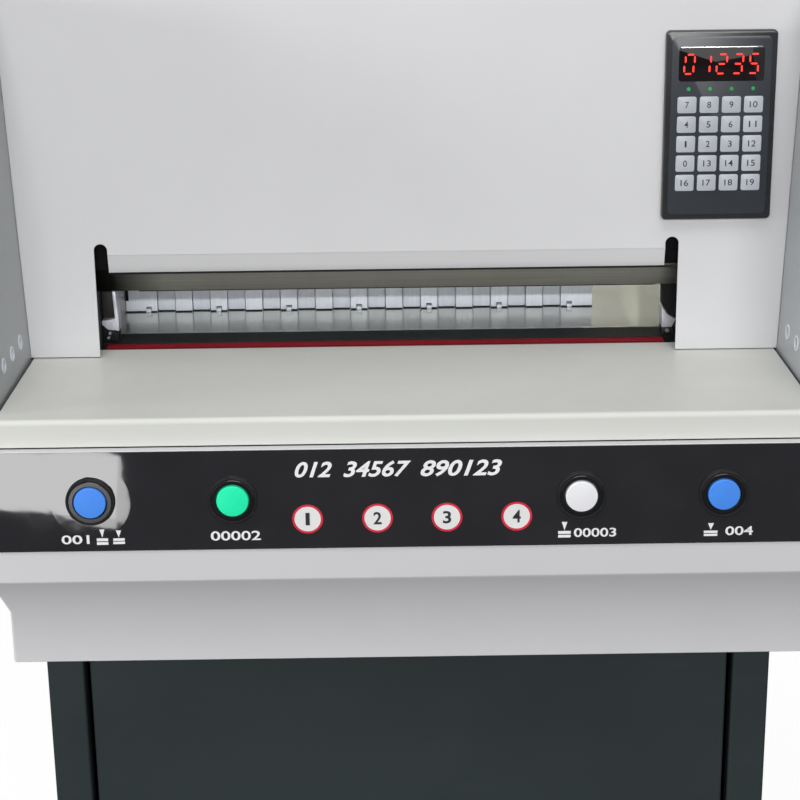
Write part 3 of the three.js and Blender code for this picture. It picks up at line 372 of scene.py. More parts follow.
def worn_colour(material):
    """Tree, shader and colour socket of a finished material."""
    tree = material.node_tree
    shader = tree.nodes["Principled BSDF"]
    return tree, shader, shader.inputs["Base Color"].links[0].from_socket


def push_cap(name, low, high, glow=0.0):
    """Smooth translucent cap; glow is the share of its own colour that it gives off."""
    material = plain_skin(
        name, MOULDED_SKIN, 0.03, "Grain", low, high, (0.3, 0.36), Specular_IOR_Level=0.35,
        Subsurface_Weight=0.15, Subsurface_Scale=0.004, Emission_Strength=glow)
    tree, shader, colour = worn_colour(material)
    feed(tree, shader, Emission_Color=colour)
    return material


def darken_along(material, axis, bands):
    """Paints shade into a finish along one axis, towards near-black: each band gives the places
    where it starts and where it is full, in the table's frame, and its share."""
    tree, shader, colour = worn_colour(material)
    along = node(tree, "ShaderNodeSeparateXYZ", {"Vector": object_place(tree)}).outputs[axis]
    for start, full, share in bands:
        ends = [TABLE_ORIGIN[axis] + place * MM for place in (start, full)]
        mask = spread(tree, along, *ends, 0, share)
        colour = colour_mix(tree, mask, colour, srgb(8, 9, 10))
    feed(tree, shader, Base_Color=colour)


def front_foil(name):
    """Glossy printed foil, glued a little unevenly and drawn in round the push buttons, so
    that reflections in it wander."""
    material, tree, shader = new_material(
        name, Coat_Weight=0.6, Coat_Roughness=0.02, Specular_IOR_Level=1.0)
    where = object_place(tree)
    along = node(tree, "ShaderNodeSeparateXYZ", {"Vector": where}).outputs
    folded = node(tree, "ShaderNodeCombineXYZ", {
        "X": math_node(tree, "ABSOLUTE", along["X"]), "Z": along["Z"]}).outputs["Vector"]
    apart = []
    for button in ("reset_button", "cut_button_right"):
        low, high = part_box(button)
        centre = ((low.x + high.x) / 2, 0, (low.z + high.z) / 2)
        measure = node(tree, "ShaderNodeVectorMath", {0: folded, 1: centre},
                       operation="DISTANCE")
        apart.append(measure.outputs["Value"])
    dimple = spread(tree, math_node(tree, "MINIMUM", *apart), 0.017, 0.03)
    drawn = bump(tree, dimple, 1.0, 0.00005)
    slow = noise(tree, where, 24, 1)
    hills = bump(tree, slow, 0.5, 0.0004, drawn)
    hills = bump(tree, noise(tree, where, 75, 1), 0.5, 0.00003, hills)
    skin = effect(tree, MOULDED_SKIN, Depth=0.01)
    colour = colour_mix(tree, skin["Cloud"], srgb(27, 26, 31), srgb(33, 32, 37))
    scratched = effect(tree, SCUFFS, Share=0.012)["Mask"]
    gloss = math_node(tree, "MULTIPLY_ADD", scratched, 0.08, 0.03)
    feed(tree, shader, Base_Color=colour, Roughness=gloss, Normal=hills)
    return material


PAINT_SKIN = make_paint_skin()
GROUND_GRAIN = make_ground_grain()
CAST_SKIN = make_cast_skin()
MOULDED_SKIN = make_moulded_skin()
SCUFFS = make_scuffs()
SETTLED_DUST = make_settled_dust()
DUST_COLOUR = srgb(176, 172, 164)

FINISHES = {
    "light_paint": painted("light_paint", (203, 203, 205), (208, 208, 210), 0.42, 0.08, 0.06),
    "table_paint": painted("table_paint", (206, 207, 202), (211, 212, 207), 0.4, 0.05, 0.12,
                           specular=0.2, dusty=0.15),
    # Painted shade: the cheeks' light grey paint, darkened for their shaded inner faces
    "cheek_paint": painted("cheek_paint", (146, 150, 153), (153, 157, 160), 0.3, 0.08, 0.1),
    "stand_paint": painted("stand_paint", (37, 46, 47), (43, 52, 53), 0.45, 0.5, 0.05,
                           dusty=0.06, peel_size=1400.0),
    "black_gloss": front_foil("black_gloss"),
    "black_plastic": moulded("black_plastic", (32, 32, 34), (40, 40, 42), 0.3),
    "black_iron": cast_iron("black_iron", (26, 30, 30), (32, 36, 36), 0.6, 0.15, 0.1),
    "frame_iron": cast_iron("frame_iron", (34, 38, 42), (42, 46, 50)),
    "carrier_steel": ground_metal("carrier_steel", (14, 15, 16), (20, 21, 22), 0.5, stain=0.1),
    "blade_steel": ground_metal("blade_steel", (130, 130, 124), (144, 144, 138), 0.38,
                                stain=0.12),
    "polished_steel": ground_metal("polished_steel", (206, 207, 200), (213, 214, 207), 0.18,
                                   depth=0.02, stain=0.02, metallic=0.7),
    "bright_steel": ground_metal("bright_steel", (196, 198, 200), (214, 216, 218), 0.26,
                                 (700.0, 700.0, 12.0), 0.25),
    "aluminium": ground_metal("aluminium", (204, 209, 218), (216, 221, 230), 0.45,
                              (500.0, 500.0, 30.0), 0.12, metallic=0.2),
    "red_plastic": moulded("red_plastic", (129, 24, 34), (133, 26, 37), 0.6, specular=0.02),
    "motor_paint": painted("motor_paint", (60, 74, 90), (68, 82, 98), 0.4, 0.3),
    "gearbox_paint": cast_iron("gearbox_paint", (92, 102, 108), (104, 114, 120), 0.45),
    "rubber": moulded("rubber", (30, 30, 30), (38, 38, 37), 0.7, 0.6),
    "zinc": ground_metal("zinc", (160, 166, 170), (176, 182, 188), 0.35, EVEN, 0.2, stain=0.2,
                         stain_colour=(150, 156, 150)),
    "blue_cap": push_cap("blue_cap", (74, 141, 236), (81, 148, 244)),
    "green_cap": push_cap("green_cap", (34, 224, 166), (42, 232, 174), 0.15),
    "white_cap": push_cap("white_cap", (234, 234, 238), (240, 240, 244)),
}
# Painted light and shade: one red plastic, lighter on the stick's top and darker on its front face
STICK_TOP_PAINTED_LIGHT = moulded("stick_top_painted_light", (140, 29, 39), (145, 31, 42), 0.6, specular=0.02)
STICK_FACE_PAINTED_SHADE = moulded("stick_face_painted_shade", (88, 20, 29), (93, 22, 31), 0.6, specular=0.02)
DARK_LENS = moulded("dark_lens", (14, 12, 16), (20, 16, 22), 0.08, 0.01, coat=1.0)
EYE_RIM = moulded("eye_rim", (206, 210, 216), (214, 218, 224), 0.3, 0.05)
BEZEL_GLOSS = moulded("bezel_gloss", (20, 20, 22), (26, 26, 28), 0.12, 0.01)
BEZEL_MATT = moulded("bezel_matt", (24, 24, 26), (30, 30, 32), 0.6, 0.1, specular=0.25)
# Matt black, both for real black trim and for painted shade and shadow strips
BLACK_TRIM_AND_SHADE = moulded("black_trim_and_shade", (20, 20, 21), (26, 26, 27), 0.7, 0.2, specular=0.2)
# Painted shade: near-black steel for the bed-end plate and the right shoe, which lie in the gate's
# shade; with a trace of stain
SHADE_PAINTED_STEEL = ground_metal("shade_painted_steel", (18, 19, 21), (36, 38, 42), 0.5, ALONG_Z, 0.3,
                            stain=0.4, metallic=0.4)
# The second tone is darker as painted shade for the recessed fingers; the first and third differ at
# random
COMB_TONES = [
    ground_metal(f"comb_tone_{number}", low, high, 0.45, (500.0, 500.0, 30.0), 0.12, metallic=0.0)
    for number, (low, high) in enumerate((
        ((218, 223, 232), (228, 233, 240)), ((208, 213, 222), (218, 223, 232)),
        ((222, 227, 236), (232, 236, 244))))]
# Crumpled bright steel; its near-white tone is partly painted highlight
CRUMPLED_HIGHLIGHT_STEEL = ground_metal("crumpled_highlight_steel", (200, 200, 210), (228, 228, 238), 0.34,
                              EVEN, 0.7, metallic=0.25)
FENCE_STEEL = ground_metal("fence_steel", (168, 168, 172), (180, 180, 184), 0.4, ALONG_Y, 0.1,
                           metallic=0.4)
SIGN_WHITE = moulded("sign_white", (226, 226, 226), (232, 232, 232), 0.4, 0.05)
CONSOLE_FOIL = moulded("console_foil", (44, 48, 54), (50, 54, 60), 0.35, 0.08)
LAMP_GREEN = moulded("lamp_green", (30, 150, 70), (40, 170, 80), 0.3, 0.02)
WHITE_INK = moulded("white_ink", (232, 232, 234), (240, 240, 242), 0.45, 0.05)
RED_INK = moulded("red_ink", (206, 34, 60), (214, 42, 68), 0.4, 0.05)
DARK_INK = moulded("dark_ink", (34, 34, 38), (42, 42, 46), 0.45, 0.05)
KEY_FOIL = moulded("key_foil", (172, 176, 182), (180, 184, 190), 0.4, 0.1)
DISPLAY_GLASS = moulded("display_glass", (16, 8, 10), (20, 10, 12), 0.06, 0.01, coat=1.0)
DISPLAY_BAR = moulded("display_bar", (250, 52, 40), (255, 60, 46), 0.4, 0.01,
                      Emission_Color=srgb(255, 50, 36), Emission_Strength=0.8)
OWN_FINISH = {"side_fence": FENCE_STEEL}
# Painted shade: the blade darkens towards both ends, where it runs into the shaded slots
darken_along(FINISHES["blade_steel"], 0, [(-200, -242, 0.96), (214, 246, 0.6)])
# Painted reflection of shade: the rear table darkens towards its front edge, where it mirrors the
# comb's shaded upper part
darken_along(FINISHES["polished_steel"], 1, [(108, 76, 0.3)])


# Shapes, built in metres round their own origin

def mesh_of(name, shape):
    """A mesh made from a bmesh, which is freed."""
    mesh = bpy.data.meshes.new(name)
    shape.to_mesh(mesh)
    shape.free()
    return mesh


def settled_mesh(thing):
    """The mesh of an object with its curve or modifiers worked out."""
    bpy.context.view_layer.update()
    return bpy.data.meshes.new_from_object(
        thing.evaluated_get(bpy.context.evaluated_depsgraph_get()))


def joined(shapes):
    """One bmesh that holds several."""
    whole = bmesh.new()
    for shape in shapes:
        carrier = mesh_of("part", shape)
        whole.from_mesh(carrier)
        bpy.data.meshes.remove(carrier)
    return whole


def outward(shape):
    bmesh.ops.remove_doubles(shape, verts=shape.verts, dist=WELD)
    bmesh.ops.recalc_face_normals(shape, faces=shape.faces)
    return shape


def turned(profile, steps=ROUND, closed=False):
    """A solid turned about Z from (radius, height) points that start and end on the axis, or
    whose profile closes on itself."""
    shape = bmesh.new()
    points = [shape.verts.new((radius * MM, 0, height * MM)) for radius, height in profile]
    following = points[1:] + points[:1] if closed else points[1:]
    edges = [shape.edges.new(pair) for pair in zip(points, following)]
    bmesh.ops.spin(shape, geom=points + edges, cent=(0, 0, 0), axis=(0, 0, 1),
                   angle=math.tau, steps=steps, use_merge=True)
    return outward(shape)


def ring(profile, steps=ROUND):
    return turned(profile, steps, closed=True)


def rounded(shape, edge, segments=2, geom=None, affect="EDGES"):
    """Rounds every edge, or the edges or corners that are given."""
    bmesh.ops.bevel(shape, geom=geom or shape.edges[:], offset=edge * MM, offset_type="OFFSET",
                    segments=segments, profile=0.5, affect=affect, material=-1)
    return shape


def block(width, depth, height, edge=0.5):
    """A box about the origin in X and Y that stands on z = 0, with rounded edges."""
    shape = bmesh.new()
    bmesh.ops.create_cube(shape, size=1)
    bmesh.ops.translate(shape, verts=shape.verts, vec=(0, 0, 0.5))
    bmesh.ops.scale(shape, verts=shape.verts, vec=(width * MM, depth * MM, height * MM))
    return rounded(shape, edge)


def thicken(shape, thick):
    """Raises a flat shape upwards and gives back the corners of its top."""
    raised = bmesh.ops.extrude_face_region(shape, geom=shape.faces[:])["geom"]
    top = [v for v in raised if isinstance(v, bmesh.types.BMVert)]
    bmesh.ops.translate(shape, verts=top, vec=(0, 0, thick * MM))
    return set(top)


def slab(outline, thick):
    """A flat outline in XY, in millimetres, raised from z = 0."""
    shape = bmesh.new()
    shape.faces.new([shape.verts.new((x * MM, y * MM, 0)) for x, y in outline])
    thicken(shape, thick)
    return outward(shape)


def pad(width, depth, corner, thick, edge=0.3):
    """A plate with round corners in plan and a softened upper edge."""
    shape = bmesh.new()
    bmesh.ops.create_grid(shape, x_segments=1, y_segments=1, size=0.5)
    bmesh.ops.scale(shape, verts=shape.verts, vec=(width * MM, depth * MM, 1))
    rounded(shape, corner, 6, shape.verts[:], "VERTICES")
    top = thicken(shape, thick)
    rounded(shape, edge, geom=[e for e in shape.edges if all(v in top for v in e.verts)])
    return outward(shape)


def screw(radius, height, crown=0.0):
    """A screw head with a hexagon socket; crown rounds it like a button head."""
    shape = bmesh.new()
    shoulder = max(height - crown, height * 0.15)
    # Sides, radius and level of each ring, from the foot to the bottom of the socket
    rings = [
        (24, radius, 0.0), (24, radius, shoulder - 0.15), (24, radius * 0.96, shoulder),
        (24, radius * 0.72, height * 0.94 + shoulder * 0.06 if crown else height),
        (6, radius * 0.48, height), (6, radius * 0.46, height * 0.35),
    ]
    loops = []
    for number, (sides, reach, level) in enumerate(rings, 1):
        made = bmesh.ops.create_circle(shape, cap_ends=number == len(rings), segments=sides,
                                       radius=reach * MM)
        bmesh.ops.translate(shape, verts=made["verts"], vec=(0, 0, level * MM))
        loops.append(made["verts"])
    for lower, upper in zip(loops, loops[1:]):
        pair = set(lower) | set(upper)
        edges = [e for e in shape.edges if all(v in pair for v in e.verts) and len(e.link_faces) < 2
                 and ((e.verts[0] in lower) == (e.verts[1] in lower))]
        bmesh.ops.bridge_loops(shape, edges=edges)
    foot = set(loops[0])
    edges = [e for e in shape.edges if all(v in foot for v in e.verts)]
    bmesh.ops.edgeloop_fill(shape, edges=edges)
    return outward(shape)


def hexagon_nut(across, height):
    shape = bmesh.new()
    corner = across / math.sqrt(3) * MM
    bmesh.ops.create_cone(shape, cap_ends=True, cap_tris=False, segments=6, radius1=corner,
                          radius2=corner, depth=height * MM)
    bmesh.ops.translate(shape, verts=shape.verts, vec=(0, 0, height / 2 * MM))
    return rounded(shape, across * 0.04)


THREAD_STEPS = 16


def thread(radius, pitch, length, depth):
    """A helical ridge with the given crest radius, from z = 0 upwards, in whole turns."""
    shape = bmesh.new()
    crest, foot = pitch * 0.18, pitch * 0.34
    middle = pitch / 2
    profile = [(radius - depth, middle - foot), (radius, middle - crest),
               (radius, middle + crest), (radius - depth, middle + foot)]
    points = [shape.verts.new((r * MM, 0, z * MM)) for r, z in profile]
    face = shape.faces.new(points)
    turns = max(int(length / pitch) - 1, 1)
    bmesh.ops.spin(shape, geom=[face], cent=(0, 0, 0), axis=(0, 0, 1),
                   dvec=(0, 0, pitch * MM / THREAD_STEPS), angle=math.tau * turns,
                   steps=THREAD_STEPS * turns)
    return outward(shape)


def placed(shape, place, turn):
    """Turns a shape, then moves it to a place in metres."""
    bmesh.ops.transform(shape, matrix=Matrix.Translation(place) @ turn, verts=shape.verts)
    return shape


def put(shape, place, facing=UP, roll=0.0):
    """Stands a shape's Z along facing, at a place in metres."""
    turn = facing.to_track_quat("Z", "Y").to_matrix().to_4x4() @ Matrix.Rotation(roll, 4, "Z")
    return placed(shape, place, turn)


def on_front(shape, place, roll=0.0):
    """Stands a shape drawn in XY upright, so that its top looks to the front."""
    turn = Matrix.Rotation(math.pi / 2, 4, "X") @ Matrix.Rotation(roll, 4, "Z")
    return placed(shape, place, turn)


def on_back(shape, place):
    """The same, but looking to the back."""
    turn = Matrix.Rotation(math.pi, 4, "Z") @ Matrix.Rotation(math.pi / 2, 4, "X")
    return placed(shape, place, turn)


INK = 0.06  # thickness of print


def numerals(text, height, slant=0.0, bold=0.0):
    """Plain figures in XY about the origin, a hair thick."""
    curve = bpy.data.curves.new("figures", "FONT")
    curve.body = text
    curve.size = height / 0.7 * MM
    curve.align_x = "CENTER"
    curve.align_y = "CENTER"
    curve.shear = slant
    curve.offset = bold * MM
    curve.extrude = INK / 2 * MM
    curve.resolution_u = 4
    holder = linked("figures", curve)
    mesh = settled_mesh(holder)
    shape = bmesh.new()
    shape.from_mesh(mesh)
    bmesh.ops.remove_doubles(shape, verts=shape.verts, dist=WELD / 10)
    bpy.data.objects.remove(holder)
    bpy.data.curves.remove(curve)
    bpy.data.meshes.remove(mesh)
    return shape


def fitted(shape, width, height):
    """Stretches a flat shape to a width and height in millimetres, centred on the origin."""
    low = Vector([min(v.co[axis] for v in shape.verts) for axis in range(3)])
    high = Vector([max(v.co[axis] for v in shape.verts) for axis in range(3)])
    middle = (low + high) / 2
    bmesh.ops.translate(shape, verts=shape.verts, vec=(-middle.x, -middle.y, -low.z))
    bmesh.ops.scale(shape, verts=shape.verts, vec=(
        width * MM / (high.x - low.x), height * MM / (high.y - low.y), 1))
    return shape


def disc(radius, thick=INK, steps=ROUND):
    return turned([(0, thick), (radius, thick), (radius, 0), (0, 0)], steps)


def washer(inner, outer):
    return ring([(inner, INK), (outer, INK), (outer, 0), (inner, 0)])


def bar(outline, back, depth, edge=0.4):
    """A block with an outline in X and Z of the table's frame, from back towards the front."""
    return on_front(rounded(slab(outline, depth), edge), at(0, back, 0))


def along_x(outline, start, end, edge=0.4):
    """A bar between two values of X, with an outline in Y and Z of the table's frame."""
    turn = Matrix(((0, 0, 1), (1, 0, 0), (0, 1, 0))).to_4x4()
    return placed(rounded(slab(outline, end - start), edge), at(start, 0, 0), turn)


def box(low, high, edge=0.4):
    """A box between two corners in the table's frame."""
    wide, deep, tall = (b - a for a, b in zip(low, high))
    middle = at((low[0] + high[0]) / 2, (low[1] + high[1]) / 2, low[2])
    return put(block(wide, deep, tall, edge), middle)


# Pieces

SLOT_OF = {row["node"]: row["material_slot"] for row in frame["record"]["subparts"]}


def body_of_node(name):
    return frame["nodes"][name]["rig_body"]


def spot(name):
    """Lowest and highest corner of a CAD node, in millimetres, and the body that it rides."""
    return (*node_box(name), body_of_node(name))


def piece(name, shape, slot, body, material=None, replaces=()):
    """Makes a mesh object of the shape, dressed in its slot's finish or in one of its own."""
    mesh = mesh_of(name, shape)
    mesh.materials.append(material or FINISHES[slot])
    mesh.polygons.foreach_set("use_smooth", [True] * len(mesh.polygons))
    mesh.set_sharp_from_angle(angle=CREASE)
    made = linked(name, mesh)
    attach(made, body)
    if replaces:
        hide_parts(*replaces)


def face_width(face):
    return 2 * face.calc_area() / face.calc_perimeter()


def settle_normals(mesh):
    """Shades every corner by the broad faces round it, so that flat sheets stay flat."""
    faces_at = [[] for _ in mesh.vertices]
    for face in mesh.polygons:
        for corner in face.vertices:
            faces_at[corner].append((face.normal.copy(), face.area))
    least = math.cos(NORMAL_BEND)
    normals = []
    for face in mesh.polygons:
        for corner in face.vertices:
            near = [normal * area for normal, area in faces_at[corner]
                    if normal.dot(face.normal) > least]
            normals.append(sum(near, Vector()).normalized())
    mesh.normals_split_custom_set(normals)


BROAD = 4.5  # least width of a broad face
FOLD_SEGMENTS = 3


def softened(name, source, fold, rim):
    """A copy of a CAD node with its folds and rims rounded: fold is the radius where two
    broad faces meet, rim the one along a sheet's cut edge."""
    shape = bmesh.new()
    shape.from_mesh(frame["nodes"][source].data)
    bmesh.ops.remove_doubles(shape, verts=shape.verts, dist=WELD)
    bmesh.ops.dissolve_limit(shape, angle_limit=FLAT, verts=shape.verts, edges=shape.edges)
    weight = shape.edges.layers.float.new("bevel_weight_edge")
    radius = max(fold, rim)
    for edge in shape.edges:
        if len(edge.link_faces) != 2 or edge.calc_face_angle_signed() < CREASE:
            continue
        broad = min(face_width(face) for face in edge.link_faces) > BROAD * MM
        edge[weight] = (fold if broad else rim) / radius
    for face in shape.faces:
        face.smooth = True
    sharp = mesh_of(name, shape)
    made = linked(name, sharp)
    rounding = made.modifiers.new("rounding", "BEVEL")
    rounding.limit_method = "WEIGHT"
    rounding.width = radius * MM
    rounding.segments = FOLD_SEGMENTS
    rounding.use_clamp_overlap = False
    mesh = settled_mesh(made)
    made.modifiers.clear()
    made.data = mesh
    bpy.data.meshes.remove(sharp)
    settle_normals(mesh)
    slot = SLOT_OF[source]
    mesh.materials.clear()
    mesh.materials.append(OWN_FINISH.get(source, FINISHES[slot]))
    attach(made, body_of_node(source))
    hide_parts(source)


# Name of the new piece: CAD node, fold radius and rim radius
SOFTENED = {
    "front_cover_sheet": ("front_cover", 2.5, 0.4),
    "rear_cover_sheet": ("rear_cover", 2.5, 0.4),
    "side_sheet_left": ("side_cover_left", 1.6, 0.6),
    "side_sheet_right": ("side_cover_right", 1.6, 0.6),
    "cheek_shell_left": ("cheek_left", 1.6, 0.5),
    "cheek_shell_right": ("cheek_right", 1.6, 0.5),
    "housing_sheet": ("base_housing", 2.2, 0.5),
    "stand_sheet": ("stand_shell", 2.0, 0.5),
    "stand_floor_sheet": ("stand_floor", 2.0, 0.5),
    "door_pan": ("cabinet_door", 1.8, 0.5),
    "left_frame_plate": ("frame_left", 1.0, 1.0),
    "right_frame_plate": ("frame_right", 1.0, 1.0),
    "top_beam_bar": ("top_beam", 1.2, 0.6),
    "bed_beam_bar": ("bed_beam", 0.5, 0.5),
    "rear_table_plate": ("rear_table", 0.5, 0.5),
    "carrier_bar": ("knife_carrier", 0.8, 0.8),
    "blade_bar": ("knife_blade", 0.2, 0.2),
    "left_guide_rail": ("knife_guide_left", 0.5, 0.4),
    "right_guide_rail": ("knife_guide_right", 0.5, 0.4),
    "left_pull_rod": ("pull_rod_left", 0.6, 0.4),
    "right_pull_rod": ("pull_rod_right", 0.6, 0.4),
    "clamp_bar": ("clamp_beam", 0.8, 0.5),
    "carriage_block": ("gauge_carriage", 0.8, 0.4),
    "gauge_end_sheet": ("gauge_end_plate", 1.0, 0.5),
    "gearbox_case": ("gearbox", 1.6, 0.8),
    "fence_bar": ("side_fence", 0.6, 0.6),
    "base_sheet": ("base_plate", 0.8, 0.5),
    "inlet_case": ("mains_inlet", 0.5, 0.3),
    "control_case": ("control_box", 1.2, 0.6),
    "left_clamp_rod": ("clamp_rod_left", 0.8, 0.8),
    "right_clamp_rod": ("clamp_rod_right", 0.8, 0.8),
    "crank_shaft": ("knife_shaft", 0.5, 0.4),
    "left_gauge_rail": ("gauge_rail_left", 0.6, 0.6),
    "right_gauge_rail": ("gauge_rail_right", 0.6, 0.6),
    "clamp_motor_case": ("clamp_motor", 1.5, 0.8),
    "gauge_motor_case": ("gauge_motor", 1.5, 0.8),
    "latch_knob": ("door_latch", 0.8, 0.5),
    "rocker_paddle": ("main_switch", 0.4, 0.3),
}


def dress_nodes():
    """Every CAD node gets its slot's finish; rounded copies replace the sharp ones."""
    for name, thing in frame["nodes"].items():
        thing.data.materials.clear()
        thing.data.materials.append(FINISHES[SLOT_OF[name]])
    for name, (source, fold, rim) in SOFTENED.items():
        softened(name, source, fold, rim)


# Fasteners

def screw_row(name, places, facing, body, radius=3.0, height=2.0, crown=1.0, slot="zinc"):
    """One piece of several like screws, at places in the table's frame."""
    heads = [put(screw(radius, height, crown), at(*place), facing, random.uniform(0, 1))
             for place in places]
    piece(name, joined(heads), slot, body)


# Light guard

EYE_PLACES = (-35, -68.5, -102)
EYE_LEVEL = 24
CHEEK_LEAN = math.radians(2)
BODY_HALF = 309
# Radius and height from the cheek's face
EYE_COLLAR = [(4.9, -4), (6.4, -4), (6.4, 0.3), (6.0, 0.7), (5.3, 0.7), (4.9, 0.3)]
EYE_LENS = [(0, -0.7), (2.4, -0.9), (4.2, -1.4), (4.95, -2.2), (4.95, -4), (0, -4)]


def dress_eyes():
    """Photocell heads, let into the cheeks' inner faces."""
    for side, name in ((-1, "left"), (1, "right")):
        facing = Vector((-side * math.cos(CHEEK_LEAN), 0, math.sin(CHEEK_LEAN)))
        x = side * (BODY_HALF + EYE_LEVEL * math.tan(CHEEK_LEAN))
        places = [at(x, y, EYE_LEVEL) for y in EYE_PLACES]
        rims = [put(ring(EYE_COLLAR), place, facing) for place in places]
        lenses = [put(turned(EYE_LENS), place, facing) for place in places]
        body = body_of_node(f"cheek_{name}")
        piece(f"eye_rims_{name}", joined(rims), "bright_steel", body, EYE_RIM)
        piece(f"eye_lenses_{name}", joined(lenses), "black_plastic", body, DARK_LENS)


# Bed ends and stick

STICK_REACH = 8.8
FACE_HEIGHT = 2
WEDGE_DEPTH = 3.5
WEDGE_HEIGHT = 5
LIP_REACH = 4
LIP_FOOT, LIP_TOP = 0.9, 1.62


def dress_bed_ends():
    """Left: a bright strip with a foot, partly painted highlight, before a plate darkened as
    painted shade,
    on a dark shoe with two bolts. Between: the stick with its wedge, its top lighter and its face
    darker
    as painted light and shade. Right: a bright foot, partly painted highlight, under a black block,
    on a shoe darkened as painted shade."""
    low, high, body = spot("bed_end_left")
    depth = high.y - low.y
    inner, outer, base = high.x, low.x, low.z
    strip = [
        (inner, base + 9.6), (inner, base + 22), (inner - 1.8, high.z), (inner - 4.2, high.z),
        (inner - 3.0, base + 20.4), (inner - 7.2, base + 19.3), (outer, base + 18.5),
        (outer, base + 15), (inner - 9, base + 10.6), (inner - 3.4, base + 10.2)]
    piece("bed_end_strip_left", bar(strip, high.y, depth, 0.3), "bright_steel", body,
          CRUMPLED_HIGHLIGHT_STEEL, replaces=("bed_end_left",))
    plate = [
        (outer, base + 19.5), (inner - 3.6, base + 21.2), (inner - 4.8, high.z), (outer, high.z)]
    piece("bed_end_plate_left", bar(plate, high.y, depth - 5), "bright_steel", body, SHADE_PAINTED_STEEL)
    shoe = [
        (outer, base), (inner - 0.8, base), (inner - 0.8, base + 9.4), (inner - 3.2, base + 9.8),
        (inner - 9, base + 10.2), (outer, base + 14.6)]
    piece("bed_end_shoe_left", bar(shoe, high.y, depth - 2.5), "black_iron", body)
    bolts = [(inner - 8, low.y + 2.5, base + 7.2), (inner - 9.4, low.y + 2.5, base + 3.2)]
    screw_row("bed_end_bolts_left", bolts, FRONT, body, 1.7, 1.3, 0.5)

    low, high, body = spot("cutting_stick")
    left, back = low.x - STICK_REACH, high.y - WEDGE_DEPTH
    piece("stick_bar", box((left, low.y, low.z), (high.x, back, high.z), 0.2), "red_plastic", body,
          STICK_TOP_PAINTED_LIGHT, replaces=("cutting_stick",))
    top = high.z - 0.05
    face = box((left, low.y - 0.15, high.z - FACE_HEIGHT), (high.x, low.y + 0.4, top), 0.05)
    piece("stick_face_painted_shade", face, "red_plastic", body, STICK_FACE_PAINTED_SHADE)
    body = body_of_node("bed_beam")
    wedge = box((left, back, high.z - WEDGE_HEIGHT), (high.x, high.y + 0.3, top), 0.1)
    piece("stick_wedge", wedge, "black_iron", body)
    low, high = node_box("rear_table")
    landing = box((low.x + 0.2, low.y - LIP_REACH, LIP_FOOT),
                  (high.x - 0.2, low.y + 0.3, LIP_TOP), 0.05)
    piece("landing_edge", landing, "polished_steel", body)

    low, high, body = spot("bed_end_right")
    inner, outer, base = low.x, high.x, low.z
    foot = [
        (inner, base + 6.6), (outer - 5, base + 6.6), (outer - 4.2, base + 9),
        (outer - 1.6, base + 13.4), (inner + 5.4, base + 17.2), (inner, base + 24.4),
    ]
    piece("bed_end_foot_right", bar(foot, high.y, depth), "bright_steel", body, CRUMPLED_HIGHLIGHT_STEEL,
          replaces=("bed_end_right",))
    block_right = [
        (inner + 0.2, high.z), (outer, high.z), (outer, base + 8), (outer - 1.2, base + 14),
        (inner + 6, base + 17.8), (inner + 0.5, base + 25.2),
    ]
    piece("bed_end_block_right", bar(block_right, high.y, depth), "black_plastic", body, BLACK_TRIM_AND_SHADE)
    shoe = [(inner + 0.3, base), (outer - 3, base), (outer - 4.4, base + 6.5),
            (inner + 0.3, base + 6.5)]
    piece("bed_end_shoe_right", bar(shoe, high.y, depth - 1.5), "black_iron", body, SHADE_PAINTED_STEEL)
    bolt = (inner + 5, low.y + 1.5, base + 3.4)
    screw_row("bed_end_bolt_right", [bolt], FRONT, body, 1.9, 1.4, 0.5)


# Backgauge

FINGERS = 23
COMB_END = 28.3
FINGER_GAP = 0.8
FINGER_PROUD = 3
FINGER_DEPTH = 7
NOTCH_WIDTH = 5
NOTCH_HEIGHT = 4.4
NOTCH_STEP = 4
COMB_FOOT = 4.4
COMB_SCREWS = (30, 60)  # from each end and from the middle
COMB_REACH = 0.4
ANGLE_DEPTH = 15
SOLE_HEIGHT = 10
FOOT_REACH = 3.5
# Painted shadow: a thin dark strip in front of each finger's foot
FOOT_SHADOW_REACH = 3.4
FOOT_SHADOW_THICK = 0.5


def finger(start, end, low, high, face, back, notch=None):
    """One upright block of the comb, with a notch at its foot where one is given."""
    outline = [(start, low)]
    if notch is not None:
        half = NOTCH_WIDTH / 2
        outline += [(notch - half, low), (notch - half, low + NOTCH_HEIGHT),
                    (notch + half, low + NOTCH_HEIGHT), (notch + half, low)]
    outline += [(end, low), (end, high), (start, high)]
    return bar(outline, back, back - face, 0.15)


